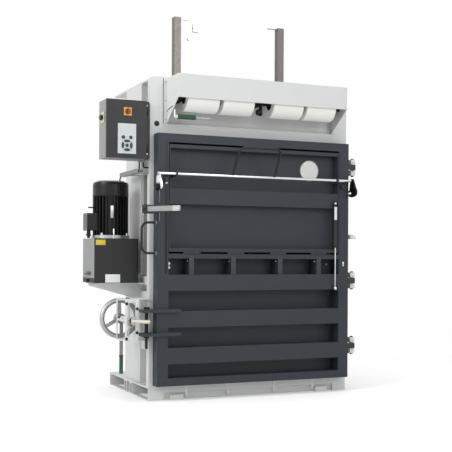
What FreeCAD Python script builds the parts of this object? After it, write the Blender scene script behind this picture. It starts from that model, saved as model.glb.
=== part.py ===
"""A twin-post waste-press baler: a welded press chamber on a fork-lift base, a swinging front
door with a loading flap, a platen on two guide posts, an oil tank with its motor, a control
cabinet, a hand-wheel door lock and a hood with four strap rolls.

Frame: +X to the right, +Y to the back, +Z up, millimetres, origin on the floor in the middle
of the base.  Every size stands once on the sheet "Sizes"; the sheet "Places" works out the
planes and centres that several pieces share.
"""
import FreeCAD, Part
import math
import os
import re
import Sketcher

SIZES = (
    # body and base
    ("body_depth", 872, "depth of the base"),
    ("body_height", 2120, "floor to the top of the top plate"),
    ("base_height", 92, "floor to the top of the deck"),
    ("deck_wall", 12, "thickness of deck, beams and top plate"),
    ("sheet_wall", 6, "thickness of walls, posts and columns"),
    ("thin_wall", 4, "thickness of folded covers"),
    ("lip_wall", 8, "thickness of the base lips and fork tubes"),
    ("lip_width", 40, "width of the lips under the fork pockets"),
    ("fork_tube_width", 60, "width of each middle fork tube"),
    ("fork_tube_gap", 64, "gap between the two middle fork tubes"),
    ("beam_end_width", 92, "solid end of the front beam"),
    ("beam_step", 20, "how far the lower front beam stands back"),
    ("beam_step_height", 50, "floor to the step of the front beam"),
    ("floor_stop_width", 90, "width of the pale stop blocks at the front"),
    ("floor_stop_inset", 48, "stop block to the end of the front beam"),
    ("floor_stop_height", 34, "height of the stop blocks"),
    ("floor_stop_depth", 26, "depth of the stop blocks"),
    ("post_width", 92, "front post, seen from the front"),
    ("flange_width", 40, "chamber's inner side to the front post"),
    ("post_return", 46, "front post, seen from the side"),
    ("plug_radius", 16, "cable hole in the left front post"),
    ("plug_height", 1812, "floor to the cable hole"),
    ("plug_side", 47, "outer post edge to the cable hole"),
    ("header_height", 64, "height of the header beam"),
    ("header_depth", 36, "depth of the header beam"),
    ("header_gap", 10, "door top to the header beam"),
    # press chamber
    ("chamber_width", 1212, "inside width of the chamber"),
    ("chamber_gap", 5, "door skin to the chamber edge"),
    ("rear_setback", 56, "chamber back plane to the base's rear edge"),
    ("rear_rib_height", 70, "height of a rib on the rear wall"),
    ("rear_rib_depth", 40, "depth of a rib on the rear wall"),
    ("rear_rib_count", 4, "ribs on the rear wall"),
    ("slot_width", 70, "slot in each side wall for the crosshead"),
    ("slot_margin", 15, "slot past the crosshead's travel"),
    ("column_depth", 332, "side column, front to back"),
    ("column_inset", 22, "side column's face inside the body's width"),
    ("brace_height", 56, "height of a cross plate between post and column"),
    ("brace_low", 323, "floor to the lowest cross plate"),
    ("brace_mid", 656, "floor to the second cross plate"),
    ("brace_tank", 754, "floor to the third cross plate"),
    ("brace_high", 1220, "floor to the highest cross plate"),
    ("tie_width", 80, "width of a tie plate between the fork tubes"),
    ("tie_pitch", 480, "between the tie plates"),
    # press
    ("press_offset", 30, "press axis ahead of the body's middle"),
    ("platen_gap", 10, "platen to the chamber walls"),
    ("platen_wall", 40, "height of the platen"),
    ("platen_plate", 12, "thickness of the platen's plate and edges"),
    ("platen_rise", 1700, "floor to the raised platen"),
    ("stroke", 480, "travel of the platen"),
    ("groove_width", 22, "strap groove in the platen"),
    ("groove_depth", 24, "depth of a strap groove"),
    ("crosshead_width", 50, "crosshead beam, front to back"),
    ("crosshead_height", 60, "height of the crosshead beam"),
    ("rib_drop", 10, "platen's ribs under the crosshead's top"),
    ("crosshead_solid", 88, "solid ends of the crosshead"),
    ("crosshead_end", 29, "press rod to the crosshead's end"),
    ("guide_spacing", 810, "between the two guide posts"),
    ("guide_side", 50, "side of a square guide post"),
    ("guide_wall", 4, "wall of guide post and sleeve"),
    ("guide_top", 2627, "floor to the top of a guide post"),
    ("guide_clearance", 2, "sleeve to guide post"),
    ("sleeve_length", 228, "guide sleeve under the top plate"),
    ("cylinder_radius", 42, "press cylinder, outside"),
    ("bore_radius", 30, "press cylinder, inside"),
    ("cylinder_length", 868, "length of a press cylinder"),
    ("cylinder_end", 20, "thickness of the cylinder's ends"),
    ("press_rod_radius", 22, "radius of a press rod"),
    ("piston_length", 30, "length of a piston"),
    ("piston_gap", 5, "raised piston to the cylinder's end"),
    ("running_gap", 0.3, "clearance between turning or sliding faces"),
    ("cut_past", 1, "how far a cutting shape reaches past a face"),
    ("weld_lap", 1, "how deep a welded piece is let in"),
    ("cam_offset", 108, "guide post to the switch plate"),
    ("cam_width", 27, "width of the switch plate"),
    ("cam_height", 163, "height of the switch plate"),
    ("cam_wall", 4, "thickness of the switch plate"),
    ("cam_block", 40, "length of the block on the switch plate"),
    ("cam_rod_radius", 4, "radius of the rod to the switch plate"),
    ("cam_foot", 12, "width of the switch plate's foot"),
    ("cam_slot_gap", 10, "roof slot round the switch plate"),
    ("cam_rise", 12, "switch plate above its guide post"),
    ("cam_rod_drop", 10, "rod under the guide post's top"),
    ("cam_block_low", 90, "guide post's top to the block's lower end"),
    ("cam_block_high", 34, "guide post's top to the block's upper end"),
    ("strip_length", 70, "strip on the right guide post"),
    ("strip_drop", 8, "strip under the guide post's top"),
    # door
    ("door_height", 1640, "height of the front door"),
    ("door_floor_gap", 10, "deck to the door"),
    ("door_proud", 83, "door's front ahead of the posts"),
    ("door_margin", 28, "door's side inside the body's side"),
    ("door_ring_gap", 3, "door ring to the posts"),
    ("ring_width", 70, "width of the door's stiles"),
    ("top_rail", 56, "height of the door's top rail"),
    ("bottom_rail", 51, "height of the door's bottom rail"),
    ("recess_depth", 110, "door's front to its skin"),
    ("rib_height", 106, "height of a door rib"),
    ("rib_low", 244, "floor to the lowest rib"),
    ("rib_pitch", 238, "between ribs"),
    ("rib_count", 3, "ribs on the lower door"),
    ("mid_rail_low", 931, "floor to the rail under the flap"),
    ("mid_rail_height", 31, "height of the rail under the flap"),
    ("guide_plate_height", 100, "strap guide on the door, height"),
    ("guide_plate_width", 34, "strap guide on the door, width"),
    ("guide_plate_depth", 60, "strap guide on the door, depth"),
    ("guide_drop", 3, "rail to the strap guides"),
    ("roller_back", 12, "strap guide's front to its roller"),
    ("roller_drop", 18, "strap guide's top to its roller"),
    ("roller_radius", 6, "radius of a guide roller"),
    ("strap_margin", 132, "chamber's side to an outer strap"),
    ("strap_inner", 174, "middle to the inner straps"),
    ("strap_width", 16, "width of a strap"),
    ("strap_wall", 1.2, "thickness of a strap"),
    ("strap_tail", 70, "strap end in front of the base"),
    # hinges of the door
    ("hinge_offset", 24, "body's side to the hinge pin"),
    ("hinge_forward", 44, "hinge pin ahead of the posts"),
    ("hinge_radius", 15, "radius of a hinge knuckle"),
    ("hinge_pin_radius", 8, "radius of a hinge pin"),
    ("hinge_height", 114, "height of a hinge"),
    ("hinge_low", 265, "floor to the bottom hinge"),
    ("hinge_mid", 724, "floor to the middle hinge"),
    ("hinge_high", 1522, "floor to the top hinge"),
    ("door_stop", 1075, "floor to the small block between the hinges"),
    ("stop_block_height", 30, "height of that small block"),
    ("stop_block_front", 5, "small block ahead of the hinge line"),
    ("stop_block_depth", 20, "small block behind the posts' front"),
    ("hinge_leaf_wall", 10, "thickness of a hinge leaf"),
    # flap
    ("flap_gap", 13, "flap to the rails above and below"),
    ("flap_side_gap", 4, "flap to the door's inner sides"),
    ("flap_depth", 104, "depth of the flap's frame"),
    ("flap_flange", 24, "height of the flap's edge flanges"),
    ("flap_skin_depth", 62, "flap's front to its panel"),
    ("flap_rib_low", 1285, "floor to the flap's rib"),
    ("flap_rib_height", 102, "height of the flap's rib"),
    ("flap_hinge_radius", 6, "radius of a flap hinge knuckle"),
    ("flap_knuckle", 60, "length of a flap hinge knuckle"),
    ("flap_hinge_count", 4, "flap hinges"),
    ("badge_radius", 70, "blank disc on the flap"),
    ("badge_side", 428, "middle to the blank disc"),
    ("badge_height", 1546, "floor to the disc's centre"),
    ("badge_wall", 3, "thickness of the disc"),
    ("badge_edge", 2, "rounded edge of the disc"),
    # flap latch
    ("latch_height", 1478, "floor to the latch rod"),
    ("latch_forward", 38, "latch rod ahead of the door"),
    ("latch_radius", 9, "radius of the latch rod"),
    ("rod_end", 4, "latch rod past a claw"),
    ("pull_half", 153, "half the width of the pull handle"),
    ("pull_centre", 46, "pull handle left of the middle"),
    ("pull_rise", 172, "pull handle above its rod"),
    ("pull_out", 112, "pull handle ahead of its rod"),
    ("pull_bend", 45, "bend of the pull handle"),
    ("pull_radius", 8, "radius of the pull handle"),
    ("hook_gap", 2, "door's side to a latch claw"),
    ("hook_wall", 12, "thickness of a latch claw"),
    ("hook_open", 22, "angle of the claws when released"),
    ("boss_radius", 17, "claw round the latch rod"),
    ("claw_radius", 113, "latch rod to the claw's outer edge"),
    ("claw_room", 8, "half the width of the claw's slot"),
    ("claw_play", 1.5, "extra room at the slot's outer side"),
    ("claw_seat", 6, "angle from the latched pin to the slot's closed end"),
    ("claw_tip", 12, "angle from the latched pin to the slot's mouth"),
    ("claw_lead", 1, "angle of the lead at the slot's mouth"),
    ("claw_tip_inset", 2, "claw's tip inside its radius"),
    ("claw_throat", 41, "rod to the claw's throat"),
    ("claw_throat_angle", 30, "angle of the throat round the rod"),
    ("catch_reach", 86.5, "latch rod to a side pin"),
    ("catch_angle", 56, "angle of that reach below the level"),
    ("catch_radius", 7, "radius of a side pin"),
    ("pin_end", 3, "side pin past its claw"),
    ("stile_block", 24, "side of a small block on a stile"),
    ("stile_block_inset", 3, "inner edge of a stile to its block"),
    ("stile_block_height", 1424, "floor to a stile's block"),
    ("bearing_inset", 34, "flap's side to a latch bearing"),
    ("bearing_wall", 10, "thickness of a latch bearing"),
    ("bearing_reach", 18, "latch rod to a bearing's edge"),
    # gas strut
    ("strut_inset", 40, "flap's side to the gas strut"),
    ("strut_forward", 26, "gas strut ahead of the door"),
    ("strut_low", 728, "floor to the strut's lower pivot"),
    ("strut_high", 1318, "floor to the strut's upper pivot"),
    ("strut_tube_radius", 11, "radius of the strut's tube"),
    ("strut_tube_low", 1012, "floor to the tube's lower end"),
    ("strut_rod_length", 350, "length of the strut's rod"),
    ("strut_rod_radius", 5, "radius of the strut's rod"),
    ("strut_eye_radius", 13, "radius of a strut eye"),
    ("strut_pin_radius", 5, "radius of a strut stud"),
    ("strut_eye_half", 6, "half the width of a strut eye"),
    ("stud_play", 1.5, "strut eye to the flap's stud"),
    ("stud_end", 2, "stud past the strut's lower eye"),
    ("strut_ear_gap", 14, "gas strut's middle to an ear"),
    ("strut_ear_wall", 6, "thickness of an ear"),
    ("strut_ear_front", 16, "gas strut's middle to an ear's front"),
    ("strut_ear_half", 20, "half the height of an ear"),
    # door lever and grab handle
    ("lever_height", 1247, "floor to the door lever"),
    ("lever_out", 87, "door's side to the lever's pivot"),
    ("lever_length", 267, "pivot to the lever's end"),
    ("lever_width", 32, "height of the lever's bar"),
    ("lever_wall", 12, "thickness of the lever's bar"),
    ("lever_forward", 14, "lever ahead of the door"),
    ("lever_open", 56, "angle of the lever swung forward"),
    ("lever_hub_radius", 18, "radius of the lever's hub"),
    ("lever_pin_radius", 9, "radius of the lever's upright pin"),
    ("lever_fork", 24, "width of the fork that holds the pin"),
    ("lever_ear", 10, "thickness of the fork's ears"),
    ("lever_play", 2, "lever to an ear"),
    ("lever_pin_end", 4, "lever's pin past an ear"),
    ("lever_seat", 32, "pin to the back of the fork"),
    ("grab_low", 965, "floor to the grab handle's lower leg"),
    ("grab_high", 1163, "floor to its upper leg"),
    ("grab_reach", 98, "grab handle out from the door's side"),
    ("grab_forward", 54, "grab handle ahead of the posts"),
    ("grab_radius", 8, "radius of the grab handle"),
    ("grab_bend", 42, "bend of the grab handle"),
    # door lock
    ("lock_out", 128, "body's side to the lock spindle"),
    ("lock_height", 530, "floor to the lock spindle"),
    ("wheel_behind", 202, "hand wheel ahead of the body's middle"),
    ("wheel_radius", 120, "hand wheel, to the rim's centre"),
    ("rim_radius", 15, "radius of the rim's section"),
    ("hub_radius", 34, "radius of the wheel's hub"),
    ("hub_length", 44, "length of the wheel's hub"),
    ("spoke_width", 26, "width of a spoke"),
    ("spindle_radius", 13, "radius of the lock spindle"),
    ("spindle_front", 503, "spindle's front end ahead of the middle"),
    ("spindle_back", 150, "spindle's back end ahead of the middle"),
    ("fork_half", 12, "half the width of the spindle's fork"),
    ("fork_nose", 16, "arm's pin to the fork's front"),
    ("fork_root", 21, "arm's pin to the fork's back"),
    ("fork_rise", 24, "half the height of the fork"),
    ("fork_floor", 15.5, "arm's pin to the floor of the fork"),
    ("fork_play", 1, "locking arm to the fork"),
    ("fork_pin_end", 2, "arm's pin past the fork"),
    ("fork_pin_radius", 5, "radius of the arm's pin"),
    ("arm_past", 39, "locking arm past the lock pin"),
    ("arm_radius", 13, "radius of the locking arm"),
    ("arm_edge", 4, "chamfer at the arm's tip"),
    ("arm_open", 60, "angle of the arm when released"),
    ("pin_out", 27, "body's side to the lock pin"),
    ("pin_forward", 32, "lock pin ahead of the posts"),
    ("lock_pin_radius", 12, "radius of the lock pin"),
    ("pin_head", 14, "height of a head of the lock pin"),
    ("pin_rim", 7, "head of the lock pin past its shank"),
    ("lug_high", 592, "floor to the upper lug"),
    ("lug_low", 440, "floor to the lower lug"),
    ("lug_wall", 20, "thickness of a lug"),
    ("lug_proud", 26, "lugs ahead of the door"),
    ("lug_back", 25, "lock pin to the lugs' back"),
    ("lug_end", 51, "lock pin to the lugs' outer ends"),
    ("lug_hold", 157, "door's side to the lugs' inner ends"),
    ("housing_low", 396, "floor to the lock housing"),
    ("housing_height", 274, "height of the lock housing"),
    ("housing_half", 45, "lock spindle to the housing's outer side"),
    ("housing_front", 480, "housing's front ahead of the middle"),
    ("housing_depth", 200, "depth of the lock housing"),
    ("housing_gap", 4, "lugs to the housing"),
    ("housing_step", 30, "housing's front to its inner plates"),
    ("window_edge", 12, "housing's window to the outer side"),
    ("window_inner", 25, "housing's window to the inner side"),
    ("window_low", 30, "housing's window to the lower edge"),
    ("window_high", 26, "housing's window to the upper edge"),
    ("sleeve_reach", 130, "length of the spindle's sleeve"),
    ("sleeve_wall", 9, "wall of the spindle's sleeve"),
    ("cheek_half", 60, "half the height of the housing's cheek"),
    ("ratchet_length", 366, "spindle to the ratchet lever's end"),
    ("ratchet_width", 22, "width of the ratchet lever"),
    ("ratchet_eye", 30, "radius of the ratchet's head"),
    ("ratchet_eye_half", 10, "half the thickness of its head"),
    ("ratchet_bar_half", 5, "half the thickness of its bar"),
    ("ratchet_forward", 250, "ratchet lever ahead of the middle"),
    ("grip_length", 124, "length of the green grip"),
    ("grip_radius", 13, "radius of the green grip"),
    ("grip_edge", 4, "rounding of a grip's end"),
    ("grip_collar", 8, "width of a grip's collar"),
    ("grip_rim", 2, "collar past the grip"),
    # roll hood
    ("hood_inset", 25, "hood's side to the front post"),
    ("hood_reach", 208, "hood's front ahead of the posts"),
    ("fascia_height", 151, "height of the hood's front"),
    ("hood_lip", 8, "fold under the hood's front"),
    ("hood_top_gap", 8, "hood's top under the top plate"),
    ("hood_post_gap", 2, "hood's flange to the front post"),
    ("hood_low", 1818, "floor to the hood's rear edge"),
    ("roll_radius", 90, "radius of a strap roll"),
    ("roll_core", 38, "radius of a roll's core hole"),
    ("core_depth", 14, "depth of a roll's core hole"),
    ("roll_edge", 3, "rounding of a roll's edge"),
    ("roll_width", 222, "width of a strap roll"),
    ("roll_height", 1972, "floor to the roll axis"),
    ("roll_forward", 104, "roll axis ahead of the posts"),
    ("roll_pitch", 250, "between the two rolls of a pair"),
    ("roll_pair", 308, "middle to a pair of rolls"),
    ("roll_bar_radius", 12, "radius of the roll bar"),
    ("carrier_half", 20, "half the height of a bar plate"),
    ("carrier_wall", 8, "thickness of a bar plate"),
    ("carrier_gap", 1, "roll to a bar plate"),
    ("brake_side", 34, "middle to the brake knob's outer face"),
    ("brake_forward", 30, "brake knob ahead of the bar"),
    ("brake_drop", 62, "brake knob under the bar"),
    ("brake_radius", 20, "radius of the brake knob"),
    ("brake_length", 26, "length of the brake knob"),
    ("brake_edge", 4, "rounding of the brake knob"),
    ("brake_past", 22, "brake knob to the end of its arm"),
    ("brake_half_gap", 15, "bar down to the top of the knob's arm"),
    ("needle_length", 250, "length of the strap needle"),
    ("needle_forward", 10, "needle ahead of the roll bar"),
    ("needle_drop", 112, "hood's front edge down to the needle"),
    ("needle_radius", 4, "radius of the needle"),
    ("needle_grip_start", 30, "hood's cheek to the needle's grip"),
    ("needle_grip_radius", 12, "radius of the needle's grip"),
    ("needle_grip_length", 126, "length of the needle's grip"),
    ("clip_half", 10, "half the depth of the needle's clip"),
    ("clip_foot", 8, "needle to the clip's lower end"),
    ("clip_top", 42, "needle to the clip's upper end"),
    ("clip_wall", 8, "thickness of the needle's clip"),
    # tank and motor
    ("tank_width", 303, "width of the oil tank"),
    ("tank_depth", 290, "depth of the oil tank"),
    ("tank_height", 294, "height of the oil tank"),
    ("tank_low", 767, "floor to the oil tank"),
    ("tank_gap", 19, "body's side to the tank"),
    ("tank_front", 274, "tank's front ahead of the middle"),
    ("tank_round", 10, "rounding of the tank's upright edges"),
    ("shelf_inset", 20, "tank's outer side to the shelf's edge"),
    ("shelf_margin", 10, "tank's front to the shelf's edge"),
    ("gusset_low", 22, "shelf's top to the gusset at its tip"),
    ("gusset_root", 110, "shelf's top to the gusset at the column"),
    ("gusset_set", 6, "column's front to the first gusset"),
    ("gusset_back", 60, "tank's middle to the second gusset"),
    ("spacer_height", 60, "height of the block behind the tank"),
    ("spacer_gap", 3, "tank to that block"),
    ("drain_reach", 14, "drain plug out from the tank"),
    ("drain_back", 6, "drain plug behind the tank's middle"),
    ("drain_high", 13, "drain plug above the tank's bottom"),
    ("drain_radius", 12, "radius of the drain plug"),
    ("glass_wall", 5, "level window out from the tank"),
    ("glass_front", 68, "tank's middle to the window's front end"),
    ("glass_back", 83, "tank's middle to the window's back end"),
    ("glass_low", 51, "tank's bottom to the window's lower edge"),
    ("glass_high", 75, "tank's bottom to the window's upper edge"),
    ("motor_radius", 119, "motor over its fins"),
    ("motor_core", 96, "motor under its fins"),
    ("fin_wall", 5, "thickness of a motor fin"),
    ("fin_count", 30, "fins round the motor"),
    ("flange_height", 22, "height of the motor's flange"),
    ("flange_rim", 6, "motor's flange past its fins"),
    ("flange_edge", 4, "rounding of the flange"),
    ("motor_body_height", 260, "finned length of the motor"),
    ("cowl_height", 104, "height of the fan cowl"),
    ("cowl_round", 26, "rounding of the cowl's top edge"),
    ("cowl_rim", 1, "cowl past the fins"),
    ("cowl_crown", 5, "height of the cowl's last bevel"),
    ("cowl_edge", 4, "first bevel inside the fins"),
    ("terminal_width", 100, "terminal box, front to back"),
    ("terminal_height", 116, "height of the terminal box"),
    ("terminal_reach", 56, "terminal box out from the fins"),
    ("terminal_low", 30, "motor's flange to the terminal box"),
    ("terminal_depth", 8, "terminal box let into the fins"),
    ("terminal_play", 0.5, "terminal box to the cut in the fins"),
    ("terminal_gland", 24, "length of its gland, and from the outer side"),
    ("terminal_gland_low", 8, "motor's flange to the gland's lower end"),
    ("terminal_gland_radius", 13, "radius of its gland"),
    # control cabinet
    ("cabinet_width", 270, "width of the cabinet's door"),
    ("cabinet_low", 1573, "floor to the cabinet"),
    ("bracket_gap", 11, "body's side to the cabinet's hinge strip"),
    ("cabinet_front", 476, "cabinet's front ahead of the middle"),
    ("cabinet_depth", 169, "depth of the cabinet"),
    ("cabinet_door_wall", 18, "thickness of the cabinet's door"),
    ("cabinet_strip", 22, "width of the cabinet's hinge strip"),
    ("cabinet_seam", 3, "gap round the cabinet's door"),
    ("cabinet_foot", 30, "cabinet's edge to a bracket's foot, and its height"),
    ("cabinet_foot_back", 10, "posts' front to a bracket's foot"),
    ("leaf_inset", 8, "hinge pin from the cabinet's inner side"),
    ("leaf_forward", 6, "hinge pin ahead of the door's seat"),
    ("leaf_radius", 6, "radius of a small knuckle"),
    ("leaf_length", 24, "length of a small knuckle"),
    ("leaf_pin", 3, "radius of a small hinge pin"),
    ("leaf_half", 4, "half the width of a small hinge leaf"),
    ("leaf_low", 40, "cabinet's lower edge to its lower hinge"),
    ("leaf_high", 88, "cabinet's top to its upper hinge"),
    ("panel_inset", 74, "cabinet's side to the key panel"),
    ("panel_width", 121, "width of the key panel"),
    ("panel_foot", 28, "cabinet's lower edge to the key panel"),
    ("panel_height", 192, "height of the key panel"),
    ("panel_wall", 3, "thickness of the key panel"),
    ("key_radius", 10, "radius of a round key"),
    ("key_proud", 3, "how far a key stands out"),
    ("key_travel", 1.5, "travel of a key"),
    ("key_floor", 1, "material left under a key's pocket"),
    ("upper_key_rise", 52, "ring's middle to the two upper keys"),
    ("upper_key_side", 25, "panel's middle to an upper key"),
    ("ring_key_foot", 52, "panel's lower edge to the ring's middle"),
    ("ring_key_radius", 27, "ring of four keys, to their middle"),
    ("ring_key_wall", 14, "width of a ring key"),
    ("ring_key_length", 26, "length of a ring key"),
    ("switch_inset", 139, "cabinet's side to the main switch"),
    ("switch_rise", 78, "key panel to the main switch"),
    ("switch_head", 75, "main switch to the cabinet's top"),
    ("switch_plate", 50, "side of the switch's yellow plate"),
    ("knob_radius", 17, "radius of the switch knob"),
    ("knob_height", 24, "how far the switch knob stands out"),
    ("knob_shaft", 6, "radius of the switch's shaft"),
    ("knob_shaft_length", 13, "length of the switch's shaft"),
    ("dial_wall", 8, "thickness of the switch's dial"),
    ("knob_grip_half", 5, "half the width of the switch's grip"),
    ("stop_drop", 37, "main switch down to the stop button"),
    ("stop_back", 84, "cabinet's front to the stop button"),
    ("stop_plate", 68, "side of the stop button's yellow plate"),
    ("plate_proud", 3, "how far a yellow plate stands out"),
    ("stop_shaft", 9, "radius of the stop button's shaft"),
    ("stop_skirt", 16, "plate to the button's outer face"),
    ("stop_dome", 6, "rounding of the button's head"),
    ("stop_knob_length", 30, "length of the stop button"),
    ("stop_radius", 18, "radius of the stop button's head"),
    ("stop_travel", 4, "travel of the stop button"),
    # cables
    ("cable_radius", 5, "radius of a cable"),
    ("cable_bend", 42, "bend of a cable's centre line"),
    ("cable_inset", 29, "hinge strip to the power cable"),
    ("sense_inset", 2, "hinge strip to the cable to the post"),
    ("cable_forward", 410, "cable glands ahead of the middle"),
    ("cable_clear", 26, "motor to the cable behind it"),
    ("cable_lift", 1, "cable above the tray's floor"),
    ("cable_outer", 20, "motor's fins to the cable at the terminal box"),
    ("sense_drop", 36, "drop of the cable to the post"),
    ("tray_past", 15, "power cable to the tray's outer edge"),
    ("tray_width", 40, "width of the cable tray"),
    ("tray_low", 1488, "floor to the cable tray"),
    ("tray_front", 420, "tray's front end ahead of the middle"),
    ("tray_height", 26, "height of the tray's sides"),
    ("tray_wall", 3, "thickness of the cable tray"),
    ("tray_foot", 30, "width of the tray's rear foot"),
    ("tray_foot_back", 20, "column's front to that foot"),
    ("gland_height", 14, "how far a cable gland stands out"),
    ("gland_radius", 12, "radius of a cable gland"),
)

PLACES = (
    ("half_width", "post_inner + post_width"),
    ("half_depth", "body_depth / 2"),
    ("post_inner", "chamber_half + flange_width"),
    ("post_front", "-half_depth"),
    ("door_front", "post_front - door_proud"),
    ("door_half", "half_width - door_margin"),
    ("ring_inner", "door_half - ring_width"),
    ("ring_back", "post_front - door_ring_gap"),
    ("door_bottom", "base_height + door_floor_gap"),
    ("door_top", "door_bottom + door_height"),
    ("opening_bottom", "door_bottom + bottom_rail"),
    ("opening_top", "door_top - top_rail"),
    ("skin_front", "door_front + recess_depth"),
    ("skin_back", "skin_front + sheet_wall"),
    ("chamber_front", "skin_back + chamber_gap"),
    ("chamber_back", "half_depth - rear_setback"),
    ("chamber_half", "chamber_width / 2"),
    ("chamber_outer", "chamber_half + sheet_wall"),
    ("ceiling", "body_height - deck_wall"),
    ("press_y", "-press_offset"),
    ("column_outer", "half_width - column_inset"),
    ("column_front", "press_y - column_depth / 2"),
    ("column_back", "press_y + column_depth / 2"),
    ("header_low", "door_top + header_gap"),
    ("header_top", "header_low + header_height"),
    ("header_back", "post_front + header_depth"),
    ("hood_front", "post_front - hood_reach"),
    ("hood_top", "body_height - hood_top_gap"),
    ("fascia_low", "hood_top - fascia_height"),
    ("platen_half", "chamber_half - platen_gap"),
    ("platen_front", "chamber_front + platen_gap"),
    ("platen_back", "chamber_back - platen_gap"),
    ("platen_top", "platen_rise + platen_wall"),
    ("crosshead_top", "platen_top + crosshead_height"),
    ("crosshead_front", "press_y - crosshead_width / 2"),
    ("crosshead_back", "press_y + crosshead_width / 2"),
    ("guide_x", "guide_spacing / 2"),
    ("cylinder_x", "(chamber_outer + column_outer - sheet_wall) / 2"),
    ("cylinder_top", "base_height + cylinder_length"),
    ("crosshead_reach", "cylinder_x + crosshead_end"),
    ("mid_rail_top", "mid_rail_low + mid_rail_height"),
    ("flap_hinge_z", "mid_rail_top + flap_gap / 2"),
    ("flap_bottom", "mid_rail_top + flap_gap"),
    ("flap_top", "opening_top - flap_gap"),
    ("flap_half", "ring_inner - sheet_wall - flap_side_gap"),
    ("flap_skin", "door_front + flap_skin_depth"),
    ("flap_back", "door_front + flap_depth"),
    ("latch_y", "door_front - latch_forward"),
    ("hook_side", "door_half + hook_gap"),
    ("latch_half", "hook_side + hook_wall + rod_end"),
    ("catch_back", "catch_reach * cos(catch_angle)"),
    ("catch_drop", "catch_reach * sin(catch_angle)"),
    ("strut_y", "door_front - strut_forward"),
    ("hinge_x", "half_width + hinge_offset"),
    ("hinge_y", "post_front - hinge_forward"),
    ("lever_y", "door_front - lever_forward"),
    ("cable_behind", "tank_y + motor_radius + cable_clear"),
    ("pin_y", "post_front - pin_forward"),
    ("wheel_y", "-wheel_behind"),
    ("roll_y", "post_front - roll_forward"),
    ("tank_x", "-(tank_side + tank_width / 2)"),
    ("tank_y", "-tank_front + tank_depth / 2"),
    ("tank_top", "tank_low + tank_height"),
    ("motor_low", "tank_top + flange_height"),
    ("cowl_low", "motor_low + motor_body_height"),
    ("cabinet_right", "half_width + bracket_gap + cabinet_strip"),
    ("cabinet_left", "cabinet_right + cabinet_width"),
    ("cabinet_face", "-cabinet_front"),
    ("cabinet_seat", "cabinet_face + cabinet_door_wall"),
    ("cabinet_rear", "cabinet_face + cabinet_depth"),
    ("panel_face", "cabinet_face - panel_wall"),
    ("panel_x", "-(panel_left - panel_width / 2)"),
    ("panel_low", "cabinet_low + panel_foot"),
    ("panel_top", "panel_low + panel_height"),
    ("panel_left", "cabinet_left - panel_inset"),
    ("switch_side", "cabinet_left - switch_inset"),
    ("switch_height", "panel_top + switch_rise"),
    ("cabinet_top", "switch_height + switch_head"),
    ("stop_height", "switch_height - stop_drop"),
    ("stop_forward", "cabinet_front - stop_back"),
    ("ring_key_z", "panel_low + ring_key_foot"),
    ("strap_outer", "chamber_half - strap_margin"),
    ("bearing_side", "flap_half - bearing_inset"),
    ("strut_side", "flap_half - strut_inset"),
    ("stile_block_side", "ring_inner + stile_block_inset"),
    ("lever_pivot", "door_half + lever_out"),
    ("lock_side", "half_width + lock_out"),
    ("pin_side", "half_width + pin_out"),
    ("lug_reach", "pin_side + lug_end"),
    ("lug_inner", "door_half - lug_hold"),
    ("arm_length", "lock_side - pin_side + arm_past"),
    ("housing_outer", "lock_side + housing_half"),
    ("hood_half", "post_inner - hood_inset"),
    ("roll_outer", "roll_pair + roll_pitch / 2"),
    ("roll_inner", "roll_pair - roll_pitch / 2"),
    ("tank_side", "half_width + tank_gap"),
    ("cable_side", "cabinet_right + cable_inset"),
    ("sense_side", "cabinet_right + sense_inset"),
    ("tray_side", "cable_side + tray_past"),
)

ORIGIN_PLANES = {"XY": "XY_Plane", "XZ": "XZ_Plane", "YZ": "YZ_Plane"}
PUSH_AXIS = {"XY": "z", "XZ": "y", "YZ": "x"}
TURNS = {
    "x": FreeCAD.Rotation(FreeCAD.Vector(0, 1, 0), 90),
    "y": FreeCAD.Rotation(FreeCAD.Vector(1, 0, 0), -90),
    "z": FreeCAD.Rotation(),
}
WORD = re.compile(r"[a-z][a-z0-9_]*")
LEFT, RIGHT = -1, 1
# the claw's straight back: share of its radius, and angle round the rod
CLAW_BACK = ((0.5, 112), (0.8, 108), (0.94, 102))

doc = FreeCAD.newDocument("WastePressBaler")
sizes = doc.addObject("Spreadsheet::Sheet", "Sizes")
places = doc.addObject("Spreadsheet::Sheet", "Places")
size_names = {alias for alias, number, note in SIZES}
place_names = {alias for alias, rule in PLACES}
pieces = {}


# ---------------------------------------------------------------- sheets and formulas

def fill_sheets():
    """Write the driving sizes, then the places that follow from them."""
    for row, (alias, number, note) in enumerate(SIZES, start=1):
        sizes.set(f"A{row}", note)
        sizes.set(f"B{row}", str(number))
        sizes.setAlias(f"B{row}", alias)
    doc.recompute()
    for row, (alias, rule) in enumerate(PLACES, start=1):
        places.setAlias(f"B{row}", alias)
    for row, (alias, rule) in enumerate(PLACES, start=1):
        places.set(f"A{row}", alias.replace("_", " "))
        places.set(f"B{row}", "=" + WORD.sub(sheet_word, rule))
    doc.recompute()


def sheet_word(found):
    """A named size, as a cell of the other sheet refers to it."""
    word = found.group()
    return f"Sizes.{word}" if word in size_names else word


def any_word(found):
    """A named size or place, as an object refers to it."""
    word = found.group()
    if word in size_names:
        return f"Sizes.{word}"
    return f"Places.{word}" if word in place_names else word


def formula(text):
    return WORD.sub(any_word, str(text))


def value(name):
    """The number behind a named size or place."""
    return float(getattr(sizes if name in size_names else places, name))


def mirrored(side, low, high):
    """A span on the right side, or the same span mirrored to the left."""
    if side == RIGHT:
        return (low, high)
    return (f"-({high})", f"-({low})")


# ---------------------------------------------------------------- ways to make a piece

def block(x, y, z):
    """A plate or bar; each of x, y and z is its (low, high)."""
    box = doc.addObject("Part::Box", "Block")
    for size, axis, (low, high) in zip(("Length", "Width", "Height"), "xyz", (x, y, z)):
        box.setExpression(size, formula(f"({high}) - ({low})"))
        box.setExpression(f"Placement.Base.{axis}", formula(low))
    return box


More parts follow.
